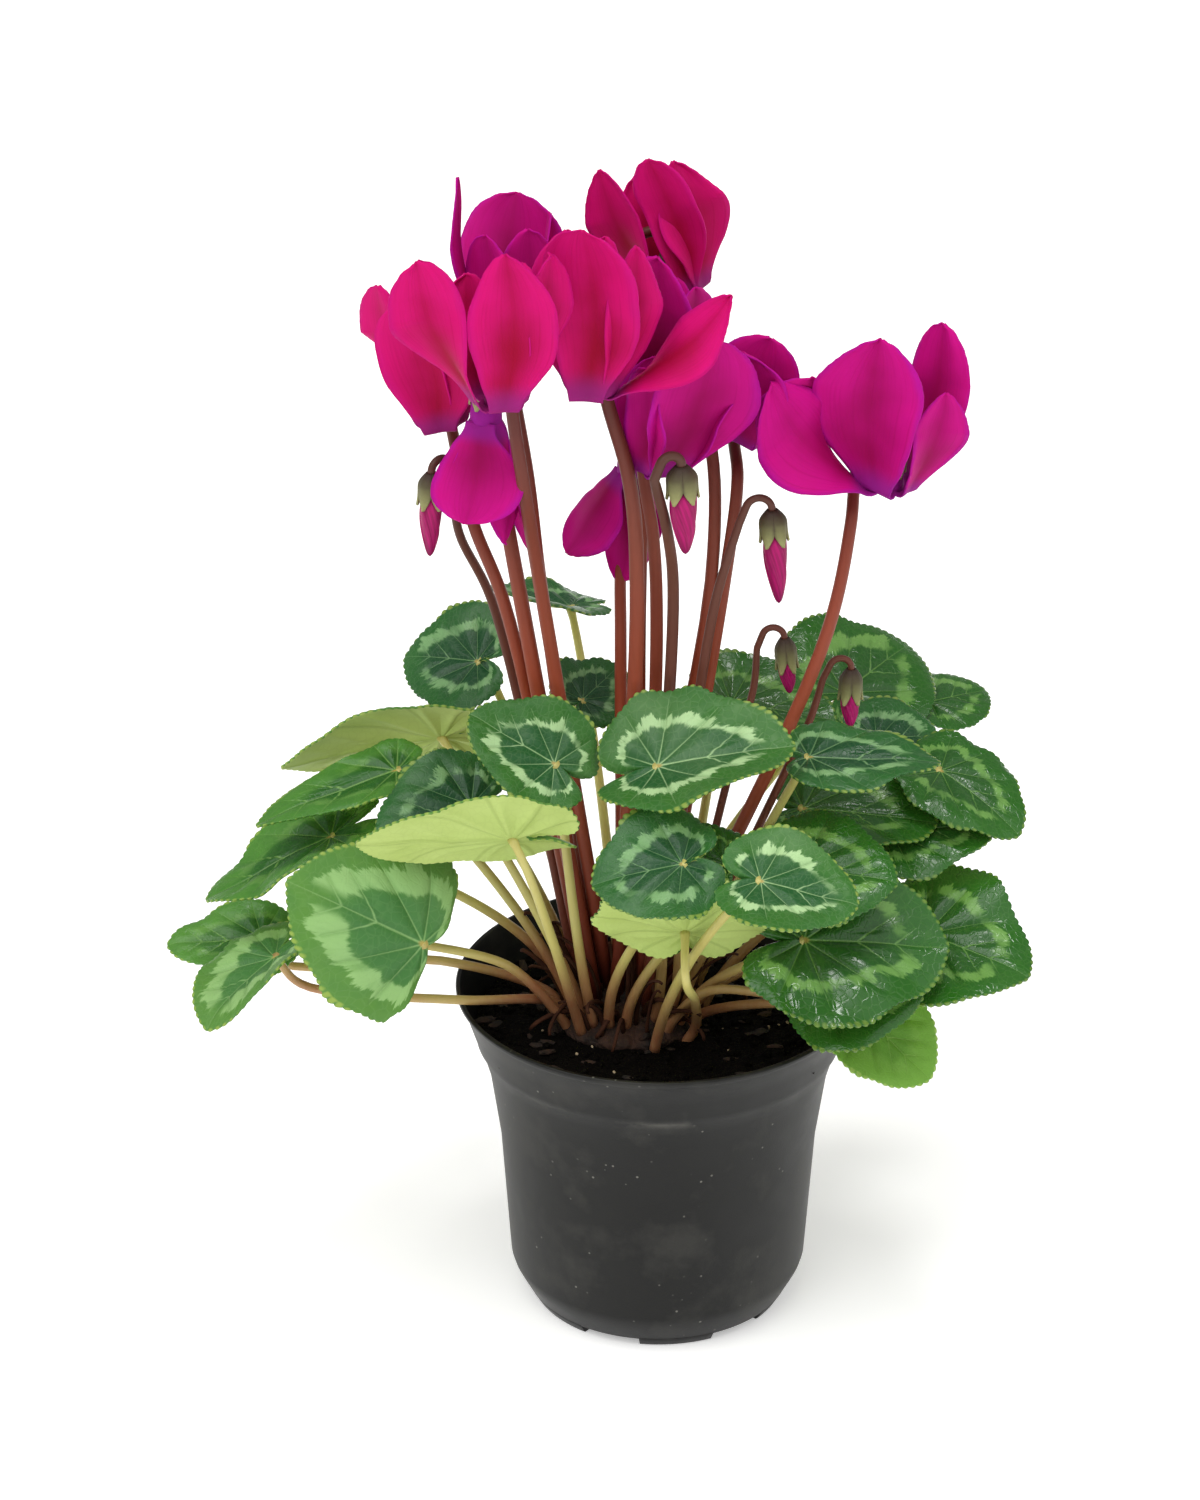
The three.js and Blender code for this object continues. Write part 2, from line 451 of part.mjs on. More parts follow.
// ---------- the plant ----------
const plant = new THREE.Group();
function node(name, solid, color, roughness) {
  const mesh = new THREE.Mesh(geometryOf(solid),
    new THREE.MeshStandardMaterial({ color, roughness, metalness: 0 }));
  mesh.name = name;
  plant.add(mesh);
}
node('pot', potSolid(), POT_BLACK, 0.55);
node('compost', soilSolid(), PEAT, 1);
node('tuber', solidOf(onCrown(turned(tuberProfile(0), 20))), CORK, 0.9);
for (const leaf of LEAVES) {
  node(`leaf_${leaf[0]}`, leafSolid(leaf), leaf[6].young ? LEAF_YOUNG : LEAF_GREEN, 0.45);
}
for (const flower of FLOWERS) {
  const [stem, corolla] = flowerSolids(flower);
  node(`stalk_${flower[0]}`, stem, STEM_BROWN, 0.5);
  node(`petals_${flower[0]}`, corolla, MAGENTA, 0.6);
}
for (const bud of BUDS) node(`bud_${bud[0]}`, budSolid(bud), BUD_PINK, 0.55);
export default plant;
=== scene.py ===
import math
import random

import bmesh
import bpy
from mathutils import Matrix, Vector, noise


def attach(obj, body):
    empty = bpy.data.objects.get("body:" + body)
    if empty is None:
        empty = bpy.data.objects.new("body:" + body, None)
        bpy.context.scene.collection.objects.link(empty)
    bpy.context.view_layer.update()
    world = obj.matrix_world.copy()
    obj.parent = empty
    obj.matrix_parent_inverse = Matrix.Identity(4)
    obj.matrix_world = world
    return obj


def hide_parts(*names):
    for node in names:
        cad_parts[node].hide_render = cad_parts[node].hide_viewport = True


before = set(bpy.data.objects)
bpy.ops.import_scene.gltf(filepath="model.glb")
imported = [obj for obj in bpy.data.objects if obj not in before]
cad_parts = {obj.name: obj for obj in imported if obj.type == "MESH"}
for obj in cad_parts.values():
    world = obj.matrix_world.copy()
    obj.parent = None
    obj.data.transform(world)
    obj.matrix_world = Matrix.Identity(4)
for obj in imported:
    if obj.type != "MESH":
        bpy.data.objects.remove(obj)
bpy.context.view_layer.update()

# ---------------------------------------------------------------- pot
# Round nursery pot of black polypropylene, injection moulded in one thin wall: a tapering side,
# a stepped collar under a rolled lip, and six feet with a drain hole over each gap between them.
# Lengths of pieces are in millimetres and go to metres as a piece is made.
MM = 0.001
WELD = 0.001
# The wall as (radius, height): under the base, up the outside, over the lip, down the inside
POT_PROFILE = [(0, 2.6), (6, 2.6), (24, 2.6), (32.6, 2.6), (34.5, 2.7), (36.9, 7.2), (38.0, 9.4),
               (38.6, 11.4), (41.1, 47), (43.9, 66), (45.3, 70.8), (46.2, 74.0), (47.3, 75.3),
               (47.6, 76.6), (49.2, 81.5), (51.2, 87.6), (51.9, 88.2), (52.4, 88.9), (52.5, 89.6),
               (52.2, 90.0), (51.4, 90.0), (51.0, 89.2), (46.4, 75.4), (42.7, 66), (39.9, 47),
               (37.4, 11.4), (35.2, 4.2), (0, 4.2)]
POT_STEPS = 160
# Feet, drain holes and the boss in the middle of the base
FEET, FIRST_FOOT, FOOT_ARC, FOOT_STEPS = 6, -82, 33, 12
FOOT_PROFILE = [(24.2, 0.5), (24.6, 0), (32.6, 0), (33.1, 0.3), (34.7, 3.0), (24.2, 3.0)]
HOLE_R, HOLE_AT, HOLE_DEEP = 3.4, (26, 0, 3), 8
BOSS_FOOT_R, BOSS_R, BOSS_HIGH = 5.7, 6, 2.8
ROUND_SIDES = 32
EDGE_ROUND, SHARP_FROM = 0.22, 32


def colour(code):
    """Linear colour of an sRGB hex value."""
    parts = [int(code[i:i + 2], 16) / 255 for i in (1, 3, 5)]
    return (*[c / 12.92 if c <= 0.04045 else ((c + 0.055) / 1.055) ** 2.4 for c in parts], 1)


def across(size):
    """Texture scale of a pattern whose features are this many millimetres wide."""
    return 1 / (size * MM)


def material(name):
    """A new material, its node tree, its surface node and the place of a point on the object."""
    made = bpy.data.materials.new(name)
    made.use_nodes = True
    tree = made.node_tree
    return made, tree, tree.nodes["Principled BSDF"], add(tree, "TexCoord").outputs["Object"]


def wire(node, *inputs):
    """Sets or links the live sockets of a node, hex colours too: in order, or by name from a dict."""
    if inputs and isinstance(inputs[0], dict):
        pairs = [(node.inputs[name], value) for name, value in inputs[0].items()]
    else:
        pairs = list(zip([socket for socket in node.inputs if socket.enabled], inputs))
    for socket, value in pairs:
        if isinstance(value, str):
            value = colour(value)
        if isinstance(value, bpy.types.Node):
            value = next(output for output in value.outputs if output.enabled)
        if isinstance(value, bpy.types.NodeSocket):
            node.id_data.links.new(value, socket)
        else:
            socket.default_value = value


def add(tree, kind, *inputs, **settings):
    """Adds a node with its settings, and wires its inputs."""
    made = tree.nodes.new("ShaderNode" + kind)
    for name, value in settings.items():
        setattr(made, name, value)
    wire(made, *inputs)
    return made


# Settings that many nodes share
TIMES, BOTH = {"operation": "MULTIPLY"}, {"operation": "MULTIPLY_ADD"}
EASED = {"interpolation_type": "SMOOTHSTEP"}
TINTS = {"data_type": "RGBA"}


def solid(name, bm, finishes, smooth_shaded=True):
    """An object of a finished bmesh in millimetres, at the origin with its place in its mesh."""
    mesh = bpy.data.meshes.new(name)
    bm.to_mesh(mesh)
    bm.free()
    mesh.transform(Matrix.Scale(MM, 4))
    for finish in finishes:
        mesh.materials.append(finish)
    if smooth_shaded:
        mesh.shade_smooth()
    made = bpy.data.objects.new(name, mesh)
    bpy.context.scene.collection.objects.link(made)
    return made


def turned(bm, profile, steps):
    """Spins a profile of (radius, height) points a full turn about Z."""
    verts = [bm.verts.new((r, 0, z)) for r, z in profile]
    edges = [bm.edges.new(pair) for pair in zip(verts, verts[1:])]
    bmesh.ops.spin(bm, geom=verts + edges, axis=(0, 0, 1), cent=(0, 0, 0), dvec=(0, 0, 0),
                   angle=2 * math.pi, steps=steps, use_merge=True, use_duplicate=False)
    bmesh.ops.remove_doubles(bm, verts=bm.verts, dist=WELD)
    bmesh.ops.recalc_face_normals(bm, faces=bm.faces)


# Polypropylene from a satin mould: near black, a little paler in cloudy marks where dusty water
# dried, with fine specks of dust and a broken dusty line where the collar steps out. Its satin
# grain is drawn 0.4 mm wide, which is coarser than the real one, so that it shows.
black_plastic, tree, surface, place = material("moulded_black_polypropylene")
height = add(tree, "SeparateXYZ", place).outputs["Z"]
cloud = add(tree, "TexNoise", place, across(22.22), 5, 0.6)
grain = add(tree, "TexNoise", place, across(0.3846), 2)
speck = add(tree, "TexVoronoi", place, across(3.03))
few = add(tree, "TexNoise", place, across(14.29), 2)
near = add(tree, "MapRange", speck, 0.07, 0.13, 1, 0)
dusty = add(tree, "MapRange", few, 0.54, 0.6)
dust = add(tree, "Math", near, dusty, **TIMES)
under_step = add(tree, "MapRange", height, 72.2 * MM, 74.8 * MM, **EASED)
over_step = add(tree, "MapRange", height, 74.8 * MM, 76.2 * MM, 1, 0)
marks = add(tree, "MapRange", cloud, 0.5, 0.66)
line = add(tree, "Math", under_step, over_step, **TIMES)
line = add(tree, "Math", line, marks, **TIMES)
film = add(tree, "Math", marks, 0.1, **TIMES)
film = add(tree, "Math", line, 0.4, film, **BOTH)
film = add(tree, "Math", dust, 0.75, film, use_clamp=True, **BOTH)
shade = add(tree, "Mix", film, "#0A0A09", "#77756E", **TINTS)
rough = add(tree, "MapRange", cloud, 0.3, 0.7, 0.38, 0.52)
bump = add(tree, "Bump", {"Strength": 0.25, "Distance": 0.1 * MM, "Height": grain})
wire(surface, {"Base Color": shade, "Roughness": rough, "Normal": bump, "IOR": 1.49,
               "Specular IOR Level": 0.27})

bm = bmesh.new()
turned(bm, POT_PROFILE, POT_STEPS)
blank = solid("pot_blank", bm, [])
bm = bmesh.new()
for foot in range(FEET):
    bearing = math.radians(FIRST_FOOT + 360 / FEET * (foot + 0.5))
    bmesh.ops.create_cone(bm, cap_ends=True, segments=ROUND_SIDES, radius1=HOLE_R, radius2=HOLE_R,
                          depth=HOLE_DEEP,
                          matrix=Matrix.Rotation(bearing, 4, "Z") @ Matrix.Translation(HOLE_AT))
drills = solid("pot_drills", bm, [])
holes = blank.modifiers.new("drain holes", "BOOLEAN")
holes.object = drills
drilled = bpy.data.meshes.new_from_object(blank.evaluated_get(bpy.context.evaluated_depsgraph_get()))
bm = bmesh.new()
bm.from_mesh(drilled)
bmesh.ops.scale(bm, vec=(1 / MM,) * 3, verts=bm.verts)
for spent in (blank.data, drills.data, drilled):
    bpy.data.meshes.remove(spent)
for foot in range(FEET):
    start = math.radians(FIRST_FOOT + 360 / FEET * foot - FOOT_ARC / 2)
    corners = [(r * math.cos(start), r * math.sin(start), z) for r, z in FOOT_PROFILE]
    face = bm.faces.new([bm.verts.new(corner) for corner in corners])
    bmesh.ops.spin(bm, geom=[face, *face.verts, *face.edges], axis=(0, 0, 1), cent=(0, 0, 0),
                   dvec=(0, 0, 0), angle=math.radians(FOOT_ARC), steps=FOOT_STEPS,
                   use_duplicate=False)
bmesh.ops.create_cone(bm, cap_ends=True, segments=ROUND_SIDES, radius1=BOSS_FOOT_R, radius2=BOSS_R,
                      depth=BOSS_HIGH, matrix=Matrix.Translation((0, 0, BOSS_HIGH / 2)))
bmesh.ops.recalc_face_normals(bm, faces=bm.faces)
pot = solid("pot", bm, [black_plastic])
edge = pot.modifiers.new("rounded edges", "BEVEL")
edge.width, edge.segments = EDGE_ROUND * MM, 2
edge.limit_method, edge.angle_limit = "ANGLE", math.radians(SHARP_FROM)
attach(pot, "root")
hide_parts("pot")

# ---------------------------------------------------------------- compost
# Dark peat compost, pressed in by hand and a little lower than the lip. It is moist and
# crumbly, with loose crumbs, chips of bark and a few pale grains of grit lying on it.
SOIL_TOP, SOIL_SETTLED = 80, 0.7
SOIL_PROFILE = [(0, 4.6), (34.8, 4.6), (37.0, 11.4), (39.5, 47), (42.3, 66), (45.6, 75.4), (47.2, 79.0)]
SOIL_STEPS = 150
LOOSE_FROM = 78.5
# Relief of its top: length, height and layer of noise of its waves, lumps and crumbs
SOIL_RELIEF = [(11, 1.1, 0), (3.2, 0.7, 4), (1.1, 0.35, 8)]
RIM_FROM, RIM_FALL = 44, 0.14
BITS_TO, WALL_AT = 47.5, 48
# Where the tuber sits, and how far the loose bits keep from its middle
CROWN = (-8, 2)
CROWN_CLEAR = 17
# Bits and withered stalks fall the same way each time
soil_random = random.Random(5)
noise.seed_set(5)


def soil_height(x, y):
    """Height of the top of the compost, which falls a little towards the wall."""
    relief = sum(high * noise.noise((x / long, y / long, layer)) for long, high, layer in SOIL_RELIEF)
    return SOIL_TOP - SOIL_SETTLED + relief - RIM_FALL * max(0, math.hypot(x, y) - RIM_FROM)


def flecked(name, size, detail, reach, dark, pale, roughness, shine=0.5, uneven=0.5):
    """A rough natural material, whose flecks of this size go from a dark to a pale colour."""
    made, tree, surface, place = material(name)
    fleck = add(tree, "TexNoise", place, across(size), detail, uneven)
    share = add(tree, "MapRange", fleck, *reach)
    shade = add(tree, "Mix", share, dark, pale, **TINTS)
    wire(surface, {"Base Color": shade, "Roughness": roughness, "Specular IOR Level": shine})
    return made, tree, surface, place, fleck


# Moist peat: almost black and matt, with crumbs about a millimetre wide and a faint damp
# shine on the clods, which bump carries where the mesh is too coarse.
moist_peat, tree, surface, place, clod = flecked(
    "moist_peat_compost", 2.381, 6, (0.35, 0.72), "#040302", "#0E0907", 0.9, 0.08, 0.7)
crumb = add(tree, "TexVoronoi", place, across(1.111))
relief = add(tree, "Math", crumb, clod)
bump = add(tree, "Bump", {"Strength": 0.9, "Distance": 0.6 * MM, "Height": relief})
rough = add(tree, "MapRange", clod, 0.35, 0.65, 0.95, 0.7)
wire(surface, {"Roughness": rough, "Normal": bump})

bm = bmesh.new()
turned(bm, [*SOIL_PROFILE, *[(r, SOIL_TOP) for r in range(46, 1, -1)], (0, SOIL_TOP)], SOIL_STEPS)
for v in bm.verts:
    if v.co.z > LOOSE_FROM:
        v.co.z = soil_height(v.co.x, v.co.y)
compost = solid("compost", bm, [moist_peat])
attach(compost, "root")
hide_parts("compost")

# Composted bark: dull dark brown chips, a little warmer than the peat. Grit: pale tan grains.
dark_bark = flecked("composted_bark", 3.846, 4, (0.38, 0.66), "#120B08", "#3A2418", 0.85)[0]
pale_grit = flecked("pale_grit", 2, 3, (0, 1), "#8A7358", "#C9B59A", 0.9)[0]

# Loose bits, each kind its own piece: name, finish, how many are thrown, smallest and largest
# half width, then length and flatness for that width.
BITS = [("peat_crumbs", moist_peat, 620, 0.5, 1.5, 1, 0.6),
        ("bark_chips", dark_bark, 130, 0.6, 1.7, 2.2, 0.35),
        ("grit_grains", pale_grit, 34, 0.25, 0.5, 1.6, 0.7)]
BIT_TILT, BIT_THICK, BIT_RISE = 0.5, 1.4, 0.3
BIT_ROUGH, BIT_GRAIN = 0.22, 0.9
for name, finish, count, small, large, long, flat in BITS:
    bm = bmesh.new()
    for i in range(count):
        turn = soil_random.uniform(0, 2 * math.pi)
        r = BITS_TO * math.sqrt(soil_random.uniform(0.05, 1))
        x, y = r * math.cos(turn), r * math.sin(turn)
        size = small + (large - small) * soil_random.random() ** 2
        if r > WALL_AT - size or math.hypot(x - CROWN[0], y - CROWN[1]) < CROWN_CLEAR:
            continue
        tilt = Matrix.Rotation(soil_random.uniform(-BIT_TILT, BIT_TILT), 4, "X")
        tilt = tilt @ Matrix.Rotation(turn * 7, 4, "Z")
        shape = Matrix.Diagonal((size * long, size, size * flat * BIT_THICK, 1))
        sit = Matrix.Translation((x, y, soil_height(x, y) + BIT_RISE * size * flat))
        made = bmesh.ops.create_icosphere(bm, subdivisions=1, radius=1, matrix=sit @ tilt @ shape)
        for v in made["verts"]:
            v.co += BIT_ROUGH * size * noise.noise_vector(v.co * BIT_GRAIN)
    bits = solid(name, bm, [finish], smooth_shaded=False)
    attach(bits, "root")
    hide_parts("compost")

# ---------------------------------------------------------------- tuber
# The corky, flattened tuber sits half out of the compost. Its crown is rough with the stubs
# and scars of earlier stalks, and every stalk of the plant grows from it.
TUBER_R, TUBER_TOP, TUBER_FALL = 20, 88.5, 8
TUBER_UNDER = [(0, 75.5), (16, 75.5), (19.4, 78.8)]
TUBER_EDGE, TUBER_RING, TUBER_RINGS, TUBER_STEPS = 19.8, 0.9, 22, 110
# Relief of its skin as length and height, where it starts and the most it may stand out
TUBER_RELIEF, ROUGH_FROM, ROUGH_MOST = [(4.5, 0.9), (1.6, 0.5)], 77, 0.35
STUBS, STUBS_TO = 26, 19
STUB_R, STUB_TOP_R, STUB_LONG, STUB_SUNK, STUB_LEAN = 1.3, 0.8, 2.2, 0.4, 0.5
WITHERED, WITHERED_TO, WITHERED_FIRST, WITHERED_STEPS = 64, 17.5, 0.7, 9
# How far withered stalks sway aside, rise and reach out, and their radius
SWAYS, RISES, REACHES, THIN = (-6, 6), (6, 26), (3, 15), (0.5, 0.95)
# Turn from one stub or stalk to the next, in radians, as plants set them
GROWTH_TURN = 2.4
ROOT_SUNK = 2


def tuber_top(r):
    """Height of the crown at a distance from its middle."""
    return TUBER_TOP - TUBER_FALL * (r / TUBER_R) ** 2


def rooted(x, y, sunk=ROOT_SUNK):
    """Where a stalk starts, a little under the skin of the crown."""
    return Vector((x, y, tuber_top(math.hypot(x - CROWN[0], y - CROWN[1])) - sunk))


def bezier(a, b, c, d, count):
    """Even steps along a curve from a to d, drawn towards b and c."""
    shares = [i / count for i in range(count + 1)]
    return [a * (1 - t) ** 3 + b * 3 * t * (1 - t) ** 2 + c * 3 * t * t * (1 - t) + d * t ** 3
            for t in shares]


def draw_out(bm, seats, sides, capped):
    """A round rim, drawn out from seat to seat one step at a time; gives its last edges."""
    rim = bmesh.ops.create_circle(bm, cap_ends=capped, radius=1, segments=sides, matrix=seats[0])["verts"]
    edges = list(dict.fromkeys(edge for v in rim for edge in v.link_edges))
    for before, after in zip(seats, seats[1:]):
        grown = bmesh.ops.extrude_edge_only(bm, edges=edges)["geom"]
        edges = [new for new in grown if isinstance(new, bmesh.types.BMEdge)]
        verts = [new for new in grown if isinstance(new, bmesh.types.BMVert)]
        bmesh.ops.transform(bm, matrix=after @ before.inverted(), verts=verts)
    return edges


def stem(bm, points, radii, sides=16):
    """Round stalk along a line of points, closed at both ends."""
    side = Vector((0.3, 1, 0.1))
    seats = []
    for i, point in enumerate(points):
        ahead = (points[min(i + 1, len(points) - 1)] - points[max(i - 1, 0)]).normalized()
        side = (side - ahead * side.dot(ahead)).normalized()
        turn = Matrix((side * radii[i], ahead.cross(side) * radii[i], ahead)).transposed().to_4x4()
        seats.append(Matrix.Translation(point) @ turn)
    bmesh.ops.holes_fill(bm, edges=draw_out(bm, seats, sides, True), sides=0)
    bmesh.ops.recalc_face_normals(bm, faces=bm.faces)


# Cork: matt skin in patches of dark and warmer brown, split by cracks into plates 3 to 4 mm wide.
corky_skin, tree, surface, place, clod = flecked(
    "corky_tuber_skin", 6.25, 6, (0.35, 0.7), "#150D0A", "#45291B", 0.85, uneven=0.65)
crack = add(tree, "TexVoronoi", place, across(3.571), feature="DISTANCE_TO_EDGE")
plates = add(tree, "MapRange", crack, 0, 0.25)
relief = add(tree, "Math", plates, clod)
bump = add(tree, "Bump", {"Strength": 0.8, "Distance": 0.7 * MM, "Height": relief})
wire(surface, {"Normal": bump})

bm = bmesh.new()
radii = [TUBER_EDGE - TUBER_RING * i for i in range(TUBER_RINGS)]
turned(bm, [*TUBER_UNDER, *[(r, tuber_top(r)) for r in radii], (0, TUBER_TOP)], TUBER_STEPS)
for v in bm.verts:
    skin = sum(high * noise.noise(v.co / long) for long, high in TUBER_RELIEF)
    if v.co.z > ROUGH_FROM:
        v.co += v.normal * min(skin, ROUGH_MOST)
bmesh.ops.translate(bm, vec=(*CROWN, 0), verts=bm.verts)
for i in range(STUBS):
    turn, r = i * GROWTH_TURN, STUBS_TO * math.sqrt((i + 1) / (STUBS + 1))
    foot = rooted(CROWN[0] + r * math.cos(turn), CROWN[1] + r * math.sin(turn), STUB_SUNK)
    lean = Matrix.Rotation(STUB_LEAN * math.sin(i * 5), 4, "X")
    lean = lean @ Matrix.Rotation(STUB_LEAN * math.cos(i * 3), 4, "Y")
    bmesh.ops.create_cone(bm, cap_ends=True, segments=9, radius1=STUB_R, radius2=STUB_TOP_R,
                          depth=STUB_LONG + i % 3, matrix=Matrix.Translation(foot) @ lean)
tuber = solid("tuber", bm, [corky_skin])
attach(tuber, "root")
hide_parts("tuber")

# Thin withered stalks of earlier leaves stand and lie round the crown. Dry and brittle, they are
# dull brown with paler flecks, and fill the foot of the plant with fine shade. Their dark mass is
# partly real dead stalks and partly painted shade, standing in for the deep shadow there.
withered_stalk = flecked("withered_brown_stalk", 3.333, 4, (0, 1), "#1E100B", "#55301F", 0.8, 0.2)[0]
bm = bmesh.new()
for i in range(WITHERED):
    turn = i * GROWTH_TURN + WITHERED_FIRST
    r = WITHERED_TO * math.sqrt((i + 1) / (WITHERED + 1))
    away = Vector((math.cos(turn), math.sin(turn), 0))
    side = Vector((-away.y, away.x, 0)) * soil_random.uniform(*SWAYS)
    root = Vector((CROWN[0], CROWN[1], tuber_top(r) - 1)) + away * r
    rise = Vector((0, 0, soil_random.uniform(*RISES)))
    end = root + away * soil_random.uniform(*REACHES) + side + rise
    if i % 3 == 0:
        end.z = SOIL_TOP + 2
    line = bezier(root, root + rise * 0.7 + away, end - side * 0.5 + Vector((0, 0, 3)), end,
                  WITHERED_STEPS)
    thick = soil_random.uniform(*THIN)
    knots = [1 - 0.05 * k + 0.12 * noise.noise(point / 2) for k, point in enumerate(line)]
    stem(bm, line, [thick * knot for knot in knots], sides=8)
withered = solid("withered_stalks", bm, [withered_stalk])
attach(withered, "root")
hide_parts("tuber")

# ---------------------------------------------------------------- leaves
# Thirty heart-shaped leaves, each a fleshy blade of about 0.6 mm with a toothed margin, on a
# round stalk that grows from the tuber and joins the blade at its notch.
# Each row: name, joint of blade and stalk, tip, way the upper face looks, bearing and
# radius of the root on the tuber, and what differs from an average blade.
LEAVES = [
    ["front_high", [-1, -28, 167], [32.5, -30, 175.5], [1, -4, 10], 300, 13.4,
     {"wide": 0.92, "fold": 0.35, "cup": 0.04}],
    ["left_high", [-26.5, -22, 164.5], [-47.5, -16, 176], [-1, -6, 9], 235, 14.9,
     {"wide": 0.95, "fold": 0.15}],
    ["low_left", [-59.5, -31, 118], [-90.5, -40, 140], [-2, -8, 6], 210, 17.8,
     {"wide": 0.95, "cup": -0.12, "fold": -0.1, "droop": 0.05, "back": 0.25, "via": [-39, -13, 102]}],
    ["far_low_left", [-98, -17, 107], [-115.5, -40, 102], [-5, -1, 10], 197, 16.8,
     {"wide": 0.8, "fold": 0.35, "via": [-51, -16, 93.5]}],
    ["far_left", [-102.5, 6, 99.5], [-127.5, 7, 97.5], [-1, -4, 9], 180, 17.3,
     {"wide": 0.75, "via": [-56.5, 2, 95]}],
    ["left_fold", [-84, 0, 132.5], [-117, -6, 119.5], [-4, -1, 8], 162, 16.3,
     {"wide": 0.68, "fold": 0.2}],
    ["left_mid", [-67, 3, 150], [-103, -8, 142], [-2, -2, 9], 184, 14.4,
     {"wide": 0.42, "fold": 0.25, "back": 0.5}],
    ["left_turned", [-56, 20, 151], [-97.5, 17.5, 146.5], [0, 8, 6], 140, 16.8,
     {"wide": 0.62, "cup": -0.05, "droop": 0, "fold": 0.15}],
    ["left_inner", [-47.5, -16, 150], [-71.5, -24, 147], [-3, -5, 8], 214, 13.4, {"fold": 0.3}],
    ["left_under", [-37, -41.5, 154], [-75.5, -46, 155.5], [0, 8, 6], 229, 17.8,
     {"wide": 0.72, "cup": -0.05, "droop": 0, "fold": 0.25}],
    ["back_left", [-47, 36, 164.5], [-67, 46, 162], [-1, -6, 8], 146, 12.4, {"wide": 1.15}],
    ["back_flat", [-23, 60, 169], [-46, 57, 173], [0, 2, 10], 100, 13.4, {"wide": 0.95, "cup": 0.22}],
    ["mid_small", [-19.5, 14, 164.5], [-10, 26, 168.5], [2, -5, 8], 128, 13.4,
     {"wide": 1.1, "cup": 0.1}],
    ["back_right_big", [48.5, 44, 151.5], [67.5, 66, 157], [0, -7, 7], 55, 13.4, {"wide": 1.2}],
    ["right_back", [18.5, 25, 158], [45.5, 22, 155.5], [1, -3, 9], 30, 11.9,
     {"wide": 0.95, "fold": 0.2}],
    ["right_upper", [37, -18, 164.5], [70, -19, 163], [0, -2, 10], 335, 13.9,
     {"wide": 0.62, "cup": 0.1, "back": 0.4}],
    ["right_mid", [56, 23, 148.5], [73.5, 31, 146], [1, -4, 9], 29, 16.3, {"wide": 1.1}],
    ["far_back_right", [71.5, 52, 145], [87.5, 66, 142.5], [1, -3, 8], 41, 16.3, {"wide": 0.9}],
    ["far_right", [72, 12.5, 145], [92.5, -2.5, 138.5], [4, -4, 8], 45, 21.3, {"cup": -0.1}],
    ["right_dark", [36.5, 3, 139], [70.5, -2, 139.5], [0, -3, 9], 8, 15.9, {"wide": 0.85, "back": 0.5}],
    ["right_low", [59, 0, 133.5], [86, 1, 136.5], [1, -4, 9], 361, 18.8, {"wide": 0.9}],
    ["front_right_back", [34.5, -28, 138.5], [59, -34.5, 138], [1, -5, 8], 320, 12.4,
     {"wide": 1.1, "neck": 3, "via": [10, -18, 134]}],
    ["front_right", [24, -63, 153.5], [48, -66, 149], [0, -5, 10], 289, 20.3, {}],
    ["front_mid", [5, -50.5, 151.5], [-17.5, -53.5, 148.5], [-1, -6, 9], 251, 14.3, {"wide": 1.15}],
    ["front_small", [16, -34, 143], [8.5, -24, 149], [2, -6, 8], 268, 13.9, {}],
    ["front_under", [6, -39, 126.5], [5.5, -50.5, 150], [0, 8, 6], 318, 20,
     {"wide": 1.4, "via": [9, -24.5, 97.5]}],
    ["low_right", [36, -35, 121.5], [73, -32, 119], [1, -6, 8], 322, 16.3, {"wide": 1.05}],
    ["right_tip", [67.5, -15, 112.5], [93, -28.5, 109], [3, -6, 8], 342, 16.3, {"wide": 1.25}],
    ["low_right_under", [42, -36, 108.5], [66.5, -38.5, 110], [2, -7, 7], 307, 16.3,
     {"wide": 1.15, "via": [13, -19, 98]}],
    ["drooping", [51.5, -27, 96], [69, -34.5, 81], [5, -7, 4], 332, 18.3,
     {"young": True, "via": [36, -25.5, 98]}],
]
# "via" is a point the stalk passes on its way
AVERAGE = {"wide": 1, "back": 1, "cup": 0.02, "fold": 0.1, "droop": 0.1, "neck": 12, "via": None,
           "young": False}
# Reach of the margin from the joint, as a share of the length, by angle from the tip
REACH = [(0, 1), (8, 0.955), (18, 0.89), (32, 0.79), (60, 0.68), (90, 0.6), (120, 0.54), (145, 0.5),
         (160, 0.44), (171, 0.3), (180, 0.12)]
# Main veins of a half blade, as shares of its length: start on the midrib, bend from it, length
VEINS = [(0, 0, 1), (0, 36, 0.62), (0, 74, 0.52), (0, 114, 0.46), (0, 148, 0.3), (0.36, 38, 0.36),
         (0.62, 40, 0.2)]
# Thickness of a blade, half width of its rounded keel, and height of its slow wave for its length
BLADE_THICK, KEEL, SWAY = 0.6, 3, 0.03
# Length and depth of a tooth of the margin, and mesh columns for each
TOOTH, TOOTH_DEEP, TOOTH_COLUMNS = 2.1, 0.5, 10
RINGS, MARGIN_FROM = 12, 0.9
TOUCHING = 0.0001
# Relief of the upper skin: grooves over the veins, raised quilting between them, slow ripples,
# a frill at the margin, its rolled edge, and how uneven its outline is
GROOVE, GROOVE_WIDE = 0.45, 0.9
QUILT, QUILT_WIDE = 0.75, 3
RIPPLE, RIPPLE_LONG = 2.8, 14
FRILL, ROLL, UNEVEN = 0.8, 0.6, 0.11
# Blade lengths across the flat map of a blade
MAP_SPAN = 2.5
